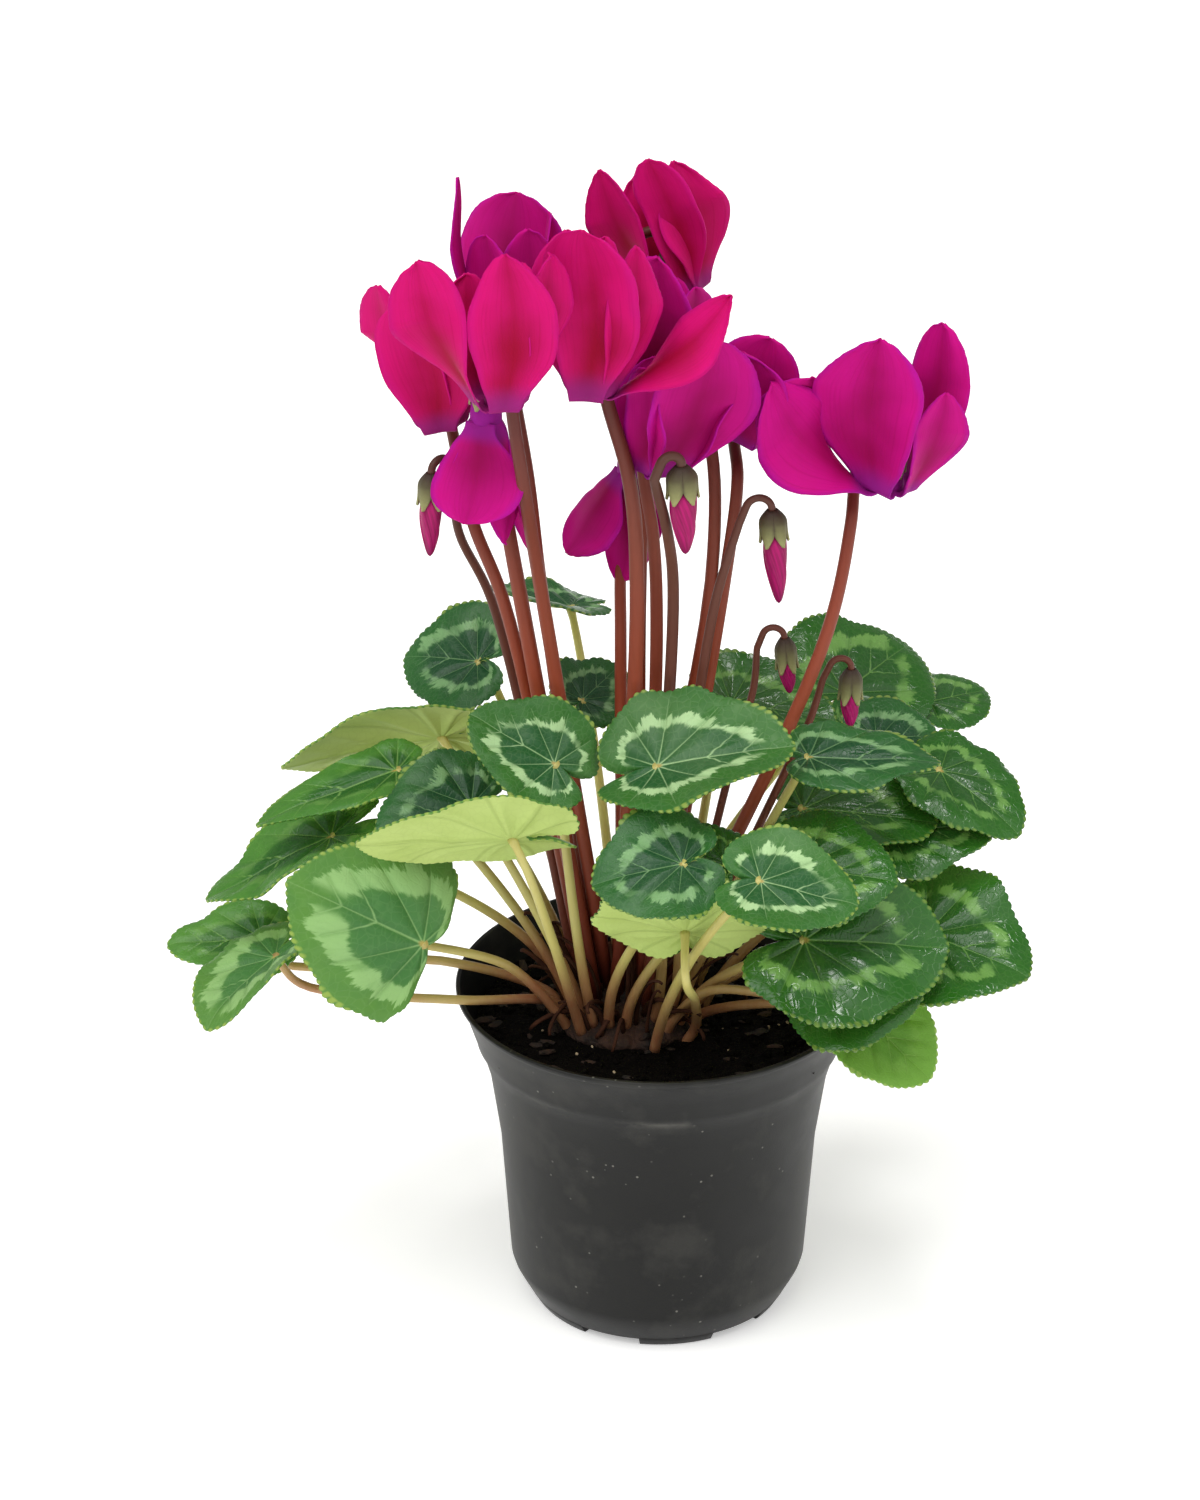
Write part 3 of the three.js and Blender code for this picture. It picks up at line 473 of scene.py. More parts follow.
# Radius of a leaf stalk at its foot and top, how much wider it ends, and its steps
STALK_FOOT, STALK_TOP, STALK_FLARE, STALK_STEPS, VIA_STEPS = 1.4, 1.0, 0.35, 26, 30
NET_CELLS = 42
LESS, SIZE = {"operation": "SUBTRACT"}, {"operation": "ABSOLUTE"}
LOWER, HIGHER = {"operation": "MINIMUM"}, {"operation": "MAXIMUM"}


def step_of(table, x):
    """Number of the pair of a table that ends the step x lies in."""
    last = len(table) - 1
    return next((i for i in range(1, last) if table[i][0] >= x), last)


def smooth(table, x):
    """Value at x of a smooth line through (x, y) pairs."""
    i, last = step_of(table, x), len(table) - 1
    slopes = []
    for k in (i - 1, i):
        before, after = table[max(k - 1, 0)], table[min(k + 1, last)]
        slopes.append((after[1] - before[1]) / (after[0] - before[0]))
    (x0, y0), (x1, y1) = table[i - 1], table[i]
    wide = x1 - x0
    t = (x - x0) / wide
    return ((2 * t ** 3 - 3 * t ** 2 + 1) * y0 + (t ** 3 - 2 * t ** 2 + t) * wide * slopes[0]
            + (3 * t ** 2 - 2 * t ** 3) * y1 + (t ** 3 - t ** 2) * wide * slopes[1])


def straight(table, x):
    """Value at x of straight lines through (x, y) pairs."""
    i = step_of(table, x)
    (x0, y0), (x1, y1) = table[i - 1], table[i]
    return y0 + (y1 - y0) * (x - x0) / (x1 - x0)


def leaf_frame(at, tip, face):
    """Seat of a blade: its joint, the ways along, up and across it, and its length."""
    joint, along = Vector(at), Vector(tip) - Vector(at)
    length = along.length
    along.normalize()
    up = Vector(face).normalized()
    up = (up - along * up.dot(along)).normalized()
    return joint, along, up, up.cross(along), length


def blade_point(seat, shape, angle, share, lift=0):
    """Point of the blade at an angle from the tip and a share of the way to the margin."""
    joint, along, up, side, length = seat
    a = math.radians(angle)
    k = length * smooth(REACH, abs(angle)) * share
    s = k * math.cos(a) * (shape["back"] if math.cos(a) < 0 else 1)
    q = shape["wide"] * k * math.sin(a)
    high = (shape["cup"] * (s * s + q * q) / length
            + shape["fold"] * (math.hypot(q, KEEL) - KEEL)
            - shape["droop"] * max(s, 0) ** 2 / length
            + SWAY * length * share ** 3 * math.sin(3 * a + length))
    return joint + along * s + side * q + up * (high + lift), s, q


def vein_gap(s, q, vein):
    """Distance of a point of the blade from one of its veins."""
    start, bend, long = vein
    s, q = s - start, abs(q)
    run = min(max(s * math.cos(bend) + q * math.sin(bend), 0), long)
    return math.hypot(s - run * math.cos(bend), q - run * math.sin(bend))


def blade(seat, shape):
    """The upper skin of a blade, with its relief and teeth, and the maps its pattern follows."""
    length = seat[-1]
    edge, run = [(0, 0)], 0
    for degree in range(0, 180, 2):
        here, next_one = [blade_point(seat, shape, angle, 1)[0] for angle in (degree, degree + 2)]
        run += (next_one - here).length
        edge.append((run, degree + 2))
    teeth = round(run / TOOTH)
    veins = [(start * length, math.radians(bend), long * length) for start, bend, long in VEINS]
    bm = bmesh.new()
    bmesh.ops.create_grid(bm, x_segments=TOOTH_COLUMNS * teeth, y_segments=RINGS, size=0.5)
    pattern, plane = bm.loops.layers.uv.new("pattern"), bm.loops.layers.uv.new("plane")
    placed = {}
    for v in bm.verts:
        part = min(abs(v.co.x) * 2, 1)
        turn = math.copysign(straight(edge, part * run), v.co.x)
        share = 1 - (0.5 - v.co.y) ** 1.7
        tooth = abs(math.sin(math.pi * teeth * part))
        near_edge = max(0, (share - MARGIN_FROM) / (1 - MARGIN_FROM)) ** 1.5
        reach = length * smooth(REACH, abs(turn))
        _, s, q = blade_point(seat, shape, turn, share)
        gap = min(vein_gap(s, q, vein) for vein in veins)
        lift = -GROOVE * math.exp(-(gap / GROOVE_WIDE) ** 2) * (1 - 0.6 * share)
        lift += QUILT * min(1, gap / QUILT_WIDE) ** 0.7 * math.sin(math.pi * min(1, share * 1.05))
        lift += RIPPLE * noise.noise((s / RIPPLE_LONG, q / RIPPLE_LONG, length)) * share ** 1.6
        lift += FRILL * noise.noise((turn / 22, 0, length * 3)) * share ** 4
        lift -= ROLL * near_edge * (0.6 + 0.4 * math.sin(turn * 0.13 + length))
        share *= 1 + near_edge * TOOTH_DEEP * (tooth - 0.55) / reach
        share *= 1 + UNEVEN * share * noise.noise((turn / 24, length, 0.5)) * math.sin(math.pi * part)
        point = blade_point(seat, shape, turn, share, lift)[0]
        around = (turn / 360 + 0.5, min(share, 1) - 0.03 * near_edge * (1 - tooth))
        flat = (q / length / MAP_SPAN + 0.5, s / length / MAP_SPAN + 0.5)
        placed[v] = (point, around, flat)
    for loop in [loop for face in bm.faces for loop in face.loops]:
        _, loop[pattern].uv, loop[plane].uv = placed[loop.vert]
    for v, (point, _, _) in placed.items():
        v.co = point
    bmesh.ops.remove_doubles(bm, verts=bm.verts, dist=WELD)
    bmesh.ops.recalc_face_normals(bm, faces=bm.faces)
    if sum(face.normal.dot(seat[2]) * face.calc_area() for face in bm.faces) < 0:
        bmesh.ops.reverse_faces(bm, faces=bm.faces)
    return bm


def through(points, count):
    """Even steps on a smooth line through a few points, which neither loops nor overshoots."""
    ends = [points[0] * 2 - points[1], *points, points[-1] * 2 - points[-2]]
    out, last = [], len(points) - 1
    for i in range(count + 1):
        u = i / count * last
        k = min(int(u), last - 1)
        p0, p1, p2, p3 = ends[k:k + 4]
        t1 = max((p1 - p0).length, TOUCHING) ** 0.5
        t2 = t1 + max((p2 - p1).length, TOUCHING) ** 0.5
        t3 = t2 + max((p3 - p2).length, TOUCHING) ** 0.5
        t = t1 + (t2 - t1) * (u - k)
        a1, a2 = p0.lerp(p1, t / t1), p1.lerp(p2, (t - t1) / (t2 - t1))
        a3 = p2.lerp(p3, (t - t2) / (t3 - t2))
        b1, b2 = a1.lerp(a2, t / t2), a2.lerp(a3, (t - t1) / (t3 - t1))
        out.append(b1.lerp(b2, (t - t1) / (t2 - t1)))
    return out


def leaf_stalk(seat, shape, bearing, r):
    """Middle line of a stalk: out and up from the tuber, and into the notch of its blade."""
    joint, along, up, _, _ = seat
    a = math.radians(bearing)
    root = rooted(CROWN[0] + r * math.cos(a), CROWN[1] + r * math.sin(a))
    reach = (joint - root).length
    out = (root - Vector((*CROWN, root.z))).normalized()
    rise = Vector((0, 0, 1))
    end = joint - up * 0.3
    near = joint - up * min(shape["neck"], reach * 0.2) - along * min(5, reach * 0.08)
    if shape["via"]:
        return through([root, root + out * 3 + rise * 5, Vector(shape["via"]), near, end], VIA_STEPS)
    return bezier(root, root + out * reach * 0.12 + rise * reach * 0.35, near, end, STALK_STEPS)


# Noise that runs out from the notch, across the turn and the share of a blade's map: where it is
# shifted, how it is stretched, its detail and its unevenness, for swells, feathers and breaks.
FLOWS = [((0, 0, 0), (11, 1.6, 1), 2, 0.5),
         ((0, 0, 0), (60, 3, 1), 4, 0.7),
         ((3, 7, 5), (16, 1.2, 1), 1, 0.5)]
# How much finer a vein gets over its length, and how much finer side veins are than the midrib
VEIN_THINS, SIDE_VEIN_THINNER = 0.006, 0.002


# Living leaf, upper side: smooth and waxy. Between the pale veins lies a dark centre, round it a
# feathered grey-green band, then plain green, and yellow-green teeth on the margin.
def leaf_skin(name, dark, green, band, margin, strength, wider, broken, veined, gloss, shine):
    made, tree, surface, place = material(name)
    around = add(tree, "UVMap", uv_map="pattern")
    turn, share, _ = add(tree, "SeparateXYZ", around).outputs
    plane = add(tree, "UVMap", uv_map="plane")
    side, along, _ = add(tree, "SeparateXYZ", plane).outputs
    side = add(tree, "Math", side, MAP_SPAN, -MAP_SPAN / 2, **BOTH)
    side = add(tree, "Math", side, **SIZE)
    along = add(tree, "Math", along, MAP_SPAN, -MAP_SPAN / 2, **BOTH)
    half = add(tree, "CombineXYZ", along, side)

    vein = path = 1
    for start, bend, long in VEINS:
        seen = add(tree, "VectorMath", half, (start, 0, 0), **LESS)
        seen = add(tree, "VectorRotate", {"Vector": seen, "Angle": -math.radians(bend)},
                   rotation_type="Z_AXIS")
        run, off, _ = add(tree, "SeparateXYZ", seen).outputs
        before = add(tree, "Math", run, -1, **TIMES)
        past = add(tree, "Math", run, long, **LESS)
        beyond = add(tree, "Math", before, add(tree, "Math", past, 0, **HIGHER), **HIGHER)
        gap = add(tree, "Math", add(tree, "Math", off, **SIZE), beyond)
        path = add(tree, "Math", path, gap, **LOWER)
        run = add(tree, "Math", run, 0, **HIGHER)
        line = add(tree, "Math", run, VEIN_THINS / long, gap, **BOTH)
        line = add(tree, "Math", line, SIDE_VEIN_THINNER if bend else 0)
        vein = add(tree, "Math", vein, line, **LOWER)
    vein = add(tree, "MapRange", vein, 0.002, 0.015, 1, 0, **EASED)

    own = add(tree, "VectorMath", place, (9, 9, 9), **TIMES)
    runs = []
    for shift, stretch, detail, uneven in FLOWS:
        flow = add(tree, "Mapping", {"Vector": around, "Location": shift, "Scale": stretch})
        flow = add(tree, "VectorMath", flow, own)
        runs.append(add(tree, "TexNoise", flow, 1, detail, uneven))
    swell, feather, gaps = runs
    level = add(tree, "Math", swell, 0.32, share, **BOTH)
    off_tip = add(tree, "Math", add(tree, "Math", turn, 0.5, **LESS), **SIZE)
    tip = add(tree, "MapRange", off_tip, 0, 0.16, 0.3, 0.16, **EASED)
    level = add(tree, "Math", level, tip, **LESS)
    inner = add(tree, "Math", feather, 0.16, level, **BOTH)
    outer = add(tree, "Math", feather, -0.42, level, **BOTH)
    outer = add(tree, "Math", gaps, -0.3, outer, **BOTH)
    stripe = strength
    for value, *limits in [(inner, 0.58, 0.63), (outer, 0.25 + wider, 0.3 + wider, 1, 0),
                           (side, 0.03, 0.1), (gaps, broken - 0.05, broken + 0.2),
                           (path, 0.004, 0.03, 0.7, 1), (feather, 0.2, 0.6, 0.75, 1)]:
        seen = add(tree, "MapRange", value, *limits, **EASED)
        stripe = add(tree, "Math", stripe, seen, **TIMES)

    net = add(tree, "TexVoronoi", plane, NET_CELLS, feature="DISTANCE_TO_EDGE")
    net = add(tree, "MapRange", net, 0, 0.12, 1, 0, **EASED)
    mottle = add(tree, "TexNoise", place, across(6.25), 5)
    sunny = add(tree, "TexNoise", place, across(33.33), 1)
    faded = add(tree, "MapRange", share, 0.3, 1, veined, veined * 0.4, **EASED)
    layers = [(add(tree, "MapRange", level, 0.42, 0.68, **EASED), green),
              (add(tree, "MapRange", mottle, 0.4, 0.7, 0, 0.3, **EASED), dark),
              (add(tree, "MapRange", sunny, 0.5, 0.75, 0, 0.1, **EASED), band),
              (stripe, band),
              (add(tree, "Math", net, 0.05, **TIMES), band),
              (add(tree, "Math", vein, faded, **TIMES), band),
              (add(tree, "MapRange", share, 0.015, 0.05, 0.8, 0, **EASED), "#B5964C"),
              (add(tree, "MapRange", share, 0.976, 0.998, 0, 0.6, **EASED), margin)]
    shade = dark
    for cover, tint in layers:
        shade = add(tree, "Mix", cover, shade, tint, **TINTS)
    rough = add(tree, "MapRange", mottle, 0.3, 0.7, gloss - 0.05, gloss + 0.1, **EASED)
    relief = add(tree, "Math", mottle, 0.7, **TIMES)
    relief = add(tree, "Math", net, -0.4, relief, **BOTH)
    relief = add(tree, "Math", vein, -0.8, relief, **BOTH)
    bump = add(tree, "Bump", {"Strength": 0.5, "Distance": 0.2 * MM, "Height": relief})
    wire(surface, {"Base Color": shade, "Roughness": rough, "Normal": bump, "IOR": 1.4,
                   "Specular IOR Level": shine})
    return made


# Each row: name, dark centre, plain green, band, margin, then how strong the band is, how much
# wider and how broken, how pale the veins are, roughness and shine.
SKINS = {
    "marbled": ("waxy_leaf_bright_band", "#265A2C", "#376D29", "#B2D69A", "#A6B955",
                0.92, 0, 0.32, 0.75, 0.36, 0.35),
    "deep": ("waxy_leaf_dark_glossy", "#27591F", "#28611A", "#82B35C", "#7F9B3E",
             0.65, 0.02, 0.32, 0.6, 0.2, 0.6),
    "muted": ("waxy_leaf_dull_band", "#1C4A28", "#2A6029", "#8DBA7E", "#9CB350",
              0.7, 0.02, 0.34, 0.6, 0.3, 0.45),
    "fresh": ("waxy_leaf_fresh_green", "#2A5F20", "#4A8030", "#84B05C", "#9CB350",
              0.25, 0, 0.34, 0.7, 0.28, 0.45),
    "light": ("waxy_leaf_light_green", "#42743A", "#57863A", "#9CC47E", "#A6B955",
              0.7, 0.12, 0.22, 0.6, 0.38, 0.3),
    "young": ("young_pale_leaf", "#5F9034", "#6FA03E", "#9CC168", "#A9C468",
              0.1, 0, 0.34, 0.4, 0.45, 0.25),
}
# Blades that are not of the deep green kind
SKIN_OF = {
    "marbled": "front_high left_high front_right",
    "muted": "right_upper left_inner back_left front_mid mid_small right_mid back_flat",
    "fresh": "left_fold left_mid far_left",
    "light": "low_left far_low_left left_turned left_under",
    "young": "drooping",
}
LEAF_SKINS = {key: leaf_skin(*row) for key, row in SKINS.items()}
FINISH_OF = {name: LEAF_SKINS[key] for key, names in SKIN_OF.items() for name in names.split()}

# Leaf, underside: matt and pale yellow-green, with duller veins that spread from the notch like
# rays and stand out a little, and a fine net between them. Its bright pale green is partly its own
# colour and partly painted light, standing in for light shining through the blade from behind.
pale_underside, tree, surface, place = material("matt_leaf_underside")
turn, share, _ = add(tree, "SeparateXYZ", add(tree, "UVMap", uv_map="pattern")).outputs
ray = add(tree, "Math", turn, 10, -5, **BOTH)
whole = add(tree, "Math", ray, operation="ROUND")
off = add(tree, "Math", add(tree, "Math", ray, whole, **LESS), **SIZE)
off = add(tree, "Math", off, share, **TIMES)
vein = add(tree, "MapRange", off, 0.01, 0.05, 1, 0)
net = add(tree, "TexVoronoi", add(tree, "UVMap", uv_map="plane"), NET_CELLS,
          feature="DISTANCE_TO_EDGE")
net = add(tree, "MapRange", net, 0, 0.1, 1, 0)
mottle = add(tree, "TexNoise", place, across(11.11), 4)
shade = add(tree, "Mix", mottle, "#A6BC60", "#BCCF7C", **TINTS)
for mask, most in ((vein, 0.35), (net, 0.12)):
    cover = add(tree, "Math", mask, most, **TIMES)
    shade = add(tree, "Mix", cover, shade, "#8A9F4E", **TINTS)
bump = add(tree, "Bump", {"Strength": 0.5, "Distance": 0.3 * MM, "Height": vein})
wire(surface, {"Base Color": shade, "Normal": bump, "Roughness": 0.6, "Specular IOR Level": 0.25})

# Leaf stalk: smooth and juicy, so light glows in it a little. Straw green by the blade, it is
# flushed orange-brown lower down, with paler streaks along it.
leaf_stalk_skin, tree, surface, place = material("smooth_leaf_stalk")
height = add(tree, "SeparateXYZ", place).outputs["Z"]
flush = add(tree, "TexNoise", place, across(45.45), 2)
low = add(tree, "Math", height, -22, 2.85, **BOTH)
low = add(tree, "Math", flush, 1.5, low, **BOTH)
low = add(tree, "MapRange", low, 1.05, 1.75)
along = add(tree, "Mapping", {"Vector": place, "Scale": (1, 1, 0.12)})
streak = add(tree, "TexNoise", along, across(1.111), 2)
streak = add(tree, "Math", streak, 0.25, **TIMES)
shade = add(tree, "Mix", low, "#BDB462", "#A05E3E", **TINTS)
shade = add(tree, "Mix", streak, shade, "#D6CC94", **TINTS)
wire(surface, {"Base Color": shade, "Roughness": 0.42, "Subsurface Weight": 0.1,
               "Subsurface Radius": (1, 0.7, 0.3), "Subsurface Scale": 1 * MM})

for name, at, tip, face, bearing, r, differs in LEAVES:
    shape = {**AVERAGE, **differs}
    seat = leaf_frame(at, tip, face)
    skin = FINISH_OF.get(name, LEAF_SKINS["deep"])
    one = solid(f"blade_{name}", blade(seat, shape), [skin, pale_underside, skin])
    wall = one.modifiers.new("thickness", "SOLIDIFY")
    wall.thickness, wall.offset = BLADE_THICK * MM, -0.6
    wall.material_offset, wall.material_offset_rim = 1, 2
    line = leaf_stalk(seat, shape, bearing, r)
    last = len(line) - 1
    radii = [STALK_FOOT + (STALK_TOP - STALK_FOOT) * i / last
             + STALK_FLARE * max(0, (i - last + 2) / 2) for i in range(last + 1)]
    bm = bmesh.new()
    stem(bm, line, radii)
    two = solid(f"stalk_of_leaf_{name}", bm, [leaf_stalk_skin])
    for part in (one, two):
        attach(part, "root")
        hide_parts(f"leaf_{name}")

# ---------------------------------------------------------------- flower stalks
# Eleven leafless stalks, orange-brown below and dark purple-brown above, each bent over at the
# top in a hook that carries the flower mouth down, with five small sepals at its end. Their darker
# foot is painted shade, where they rise among the leaf stalks.
# Each row: name, mouth of the corolla tube, way the turned-back petals point, bearing at
# which the stalk passes the corolla, root on the tuber, stalk radius at foot and top, way
# points, then five petals: bearing, flare, length, breadth and, where they are not the usual
# ones, twist, curl and end, which is pointed above 0 and cut off below it.
FLOWERS = [
    ["far_left", [-54, 5, 244.5], [-2, 0, 10], 84, [-17.6, 2], 1.7, 1.35, [[-47, 4.5, 219],
     [-39, 1.5, 197]], [[149, 14, 40, 17, -70, -16, 0.1], [266, 5, 41, 25, 14, 6, 0.2],
     [324, 8, 37, 15], [58, 15, 31, 16], [102, 21, 30, 16]]],
    ["front_left", [-39, -32, 266], [0, 0, 10], 75, [-12.8, 2], 1.8, 1.4, [[-34, -22, 242],
     [-30, -10, 208]], [[205, 24, 46, 19, -62, -6, 0.1], [279, 3, 45, 22, 14, 4, 0.7],
     [344, 9, 43, 15, 30, 0, 0.2], [63, 12, 35, 16], [129, 14, 33, 16]]],
    ["back_left", [-39, 24, 259], [0, 0, 10], 280, [-15.2, 6.2], 1.6, 1.3, [[-33, 13.5, 226.5],
     [-30, 7.5, 200.5]], [[191, 14, 47, 12, 20, -14, 0.9], [71, 8, 38, 28, 8, 0, 0.15],
     [10, 10, 36, 15], [248, 9, 35, 17, 16, 0, 0.5], [304, 9, 36, 16, 16, 0, 0.3]]],
    ["middle", [-18, -17.5, 262.5], [0, 0, 10], 64, [-10.9, -1.7], 2, 1.5, [[-8, -11.5, 237],
     [-6, -8.5, 205]], [[263, 3, 49, 25, 16, 4, -0.3], [318, 12, 46, 15, 34, 2, 0.9],
     [352, 50, 43, 15, -60, -8, 0.9], [125, 4, 42, 17], [70, 11, 39, 16]]],
    ["middle_low", [-2, -5, 237], [2, 0, 10], 104, [-4.1, -2.7], 1.7, 1.4, [[-2, 0, 216.5],
     [-1, 1, 190.5]], [[300, 6, 44, 31, 4, 8, 0.3], [7, 23, 30, 18], [131, 5, 29, 16], [71, 14, 21, 16],
     [233, 15, 34, 15]]],
    ["middle_back", [-2, 12, 251.5], [1, 0, 10], 77, [-4.7, 3], 1.5, 1.3, [[-4, 10.5, 222],
     [-5, 4.5, 197]], [[250, 4, 40, 24, 14, 0, 0.5], [352, 4, 30, 18, 30, 0, 0.4], [74, 13, 28, 15],
     [123, 11, 29, 15], [201, 6, 27, 14]]],
    ["right_of_middle", [21, 11.5, 238], [2, 0, 10], 105, [-1.3, 6.2], 1.7, 1.4, [[19, 8.5, 228.5],
     [16, 4.5, 202.5]], [[316, 26, 28, 24, 30, -8, 0.2], [80, 1, 27, 22, 16, 0, 0.3],
     [240, 15, 31, 29, -14, 4, 0.2], [180, 25, 16, 16, 16, 0, 0.3], [128, 25, 16, 15, 16, 0, 0.3]]],
    ["top", [6, 31, 269.5], [-3, 0, 10], 185, [-7.6, 10.2], 1.7, 1.4, [[11, 14, 242], [13, 6, 207]],
     [[325, 4, 38, 19, 36, 2, 0.95], [282, 4, 42, 14, 24, 3, -0.2], [210, 14, 42, 16, -36, -10, 0.9],
     [59, 7, 32, 14], [118, 6, 32, 14]]],
    ["right", [56, 2.5, 228.5], [1, 0, 10], 148, [0.1, 3], 1.7, 1.4, [[47, 1.5, 218.5],
     [41, -4.5, 190.5]], [[232, 7, 46, 30, -18, 2, 0.7], [192, 52, 42, 24, 72, -16, 0.9],
     [38, 11, 45, 16, -24, -8, 0.1], [326, 17, 33, 17, 34, -8, 0.8], [135, 20, 35, 18]]],
    ["hanging_left", [-43, -10, 252], [0, 0, 10], 79, [-16.2, -2.2], 2, 1.5, [[-39, -2, 227],
     [-34, -3, 195]], [[248, 153, 25, 24, 0, 10, 0.1], [312, 173, 32, 13, 10, 6, 0.6],
     [12, 169, 38, 13, 10, 4, 0.6], [71, 170, 32, 14, 10, 0, 0.4], [152, 168, 22, 15, 10, 0, 0.4]]],
    ["hanging_middle", [-7, 18.5, 225.5], [0, 0, 10], 97, [-9.5, 4], 1.6, 1.3, [[-10, 15.5, 202],
     [-10, 9.5, 186]], [[202, 139, 25, 22, 10, 14, 0.9], [242, 177, 29, 13, 10, 0, 0.4],
     [350, 176, 26, 12, 10, 0, 0.4], [69, 170, 27, 13, 10, 0, 0.4], [138, 168, 24, 14, 10, 0, 0.4]]],
]
TUBE_R, HOOK_R = 3.8, 4.6
# Calyx of a flower: from the mouth to its edge and to the end of its stalk, length, radius, flare
CALYX_EDGE, STALK_END, CALYX_LONG, CALYX_R, CALYX_FLARE = 12.8, 13.3, 8.5, 3.6, 1
SEPALS, SEPAL_TURN, SEPAL_SPREAD, SEPAL_THICK = 5, 20, 40, 0.35
SEPAL_COLUMNS, SEPAL_ROWS = 10, 16
# Stalks: how fast they thin, steps up to the hook, degrees of the hook for a step, end in the tube
TAPER_OVER, STRAIGHT_STEPS, HOOK_STEP, INTO_TUBE = 1.3, 34, 10, 2.5


def flower_frame(mouth, lean):
    """Seat of a flower: its mouth, the way its tube points up, and two ways across it."""
    up = Vector(lean).normalized()
    first = (Vector((1, 0, 0)) - up * up.x).normalized()
    return Vector(mouth), up, first, up.cross(first)


def bearing_in(seat, degrees):
    """Way across a flower at a bearing."""
    a = math.radians(degrees)
    return seat[2] * math.cos(a) + seat[3] * math.sin(a)


def scape(seat, start, bend, bearing, root, via, slant=0, leads=(3.4, 1)):
    """Line of a stalk from the tuber over its hook to the calyx; its leads are in hook radii."""
    side, up = bearing_in(seat, bearing), seat[1]
    top = seat[0] + up * start

    def hook(degrees, down=0):
        w = math.radians(degrees)
        return (top + side * (bend * (1 + math.cos(w)) + down * math.sin(w))
                + up * (bend * math.sin(w) - down * math.cos(w)))

    rise = [Vector(point) for point in reversed(via)] + [hook(slant, lead * bend) for lead in leads]
    line = through([rooted(*root), *rise], STRAIGHT_STEPS)
    line += [hook(degrees) for degrees in range(max(5, slant), 180, HOOK_STEP)]
    return line + [top, top - up * INTO_TUBE]


def hooked_stalk(name, line, foot, top, finish):
    """A stalk along its line, thinner towards its hook."""
    last = len(line) - 1
    bm = bmesh.new()
    stem(bm, line, [foot + (top - foot) * min(1, TAPER_OVER * i / last) for i in range(last + 1)])
    return solid(name, bm, [finish])


def sheet(bm, layer, columns, rows):
    """A flat grid to shape, with each vertex's shares across and along it, also as its map."""
    made = bmesh.ops.create_grid(bm, x_segments=columns, y_segments=rows, size=0.5)["verts"]
    where = {v: (v.co.x + 0.5, v.co.y + 0.5) for v in made}
    for loop in {loop for v in made for loop in v.link_loops}:
        loop[layer].uv = where[loop.vert]
    return where


def calyx(name, seat, start, long, radius, flare, finish):
    """Five pointed sepals grown together in a bell round the end of a stalk."""
    bm = bmesh.new()
    layer = bm.loops.layers.uv.new("sepal")
    for k in range(SEPALS):
        out = bearing_in(seat, 360 / SEPALS * k + SEPAL_TURN)
        side = seat[1].cross(out)
        for v, (x, t) in sheet(bm, layer, SEPAL_COLUMNS, SEPAL_ROWS).items():
            s = 2 * x - 1
            spread = SEPAL_SPREAD * (1 if t < 0.5 else max(0, 1 - (2 * t - 1) ** 1.5))
            bell = radius * (0.36 + 0.64 * math.sin(min(1, 2.4 * t) * math.pi / 2))
            bell += flare * max(0, t - 0.6) ** 1.5
            ridge = 0.3 * (1 - abs(s)) * min(1, 3 * t) - 0.12 * s * s
            turn = math.radians(s * spread)
            v.co = (seat[0] + seat[1] * (start - long * t)
                    + (out * math.cos(turn) + side * math.sin(turn)) * (bell + ridge + 0.06 * (k % 2)))
    made = solid(name, bm, [finish])
    made.modifiers.new("thickness", "SOLIDIFY").thickness = SEPAL_THICK * MM
    return made


# Stalk of a flower or bud: smooth and half matt, warmest in the middle of its height and darker
# towards the hook, with paler patches and fine dark streaks along it.
def scape_skin(name, low, middle, high):
    made, tree, surface, place = material(name)
    height = add(tree, "SeparateXYZ", place).outputs["Z"]
    height = add(tree, "MapRange", height, 85 * MM, 255 * MM)
    shade = add(tree, "ValToRGB", height)
    stops = shade.color_ramp.elements
    stops[0].position, stops[0].color = 0, colour(low)
    stops[1].position, stops[1].color = 1, colour(high)
    stops.new(0.45).color = colour(middle)
    patchy = add(tree, "TexNoise", place, across(62.5), 1)
    patchy = add(tree, "MapRange", patchy, 0.4, 0.7, 0, 0.15)
    along = add(tree, "Mapping", {"Vector": place, "Scale": (1, 1, 0.1)})
    streak = add(tree, "TexNoise", along, across(0.7692), 2)
    shade = add(tree, "Mix", patchy, shade, "#A86A50", **TINTS)
    dark = add(tree, "Math", streak, 0.22, **TIMES)
    shade = add(tree, "Mix", dark, shade, "#3C1C1A", **TINTS)
    bump = add(tree, "Bump", {"Strength": 0.3, "Distance": 0.1 * MM, "Height": streak})
    wire(surface, {"Base Color": shade, "Normal": bump, "Roughness": 0.48, "Specular IOR Level": 0.3})
    return made


# The first colour of the flower stalks, dark red-brown at their foot, is painted shade that darkens them
# low down.
flower_stalk_skin = scape_skin("smooth_flower_stalk", "#6E2F20", "#A84B2E", "#642B26")

# Calyx: dull and finely downy, olive green that is paler at the tips, and brown at its foot, in
# the seams between the sepals and in fine flecks.
calyx_skin, tree, surface, place = material("downy_calyx")
from_side, from_foot, _ = add(tree, "SeparateXYZ", add(tree, "UVMap", uv_map="sepal")).outputs
fleck = add(tree, "TexNoise", place, across(1.429), 3, 0.7)
paler = add(tree, "MapRange", from_foot, 0.3, 0.95)
green = add(tree, "Mix", paler, "#5E5A38", "#A2A468", **TINTS)
off = add(tree, "Math", add(tree, "Math", from_side, 0.5, **LESS), **SIZE)
seam = add(tree, "MapRange", off, 0.3, 0.48, 0, 0.75)
grown = add(tree, "MapRange", from_foot, 0.45, 0.8, 1, 0)
seam = add(tree, "Math", seam, grown, **TIMES)
foot = add(tree, "MapRange", from_foot, 0.05, 0.4, 0.9, 0)
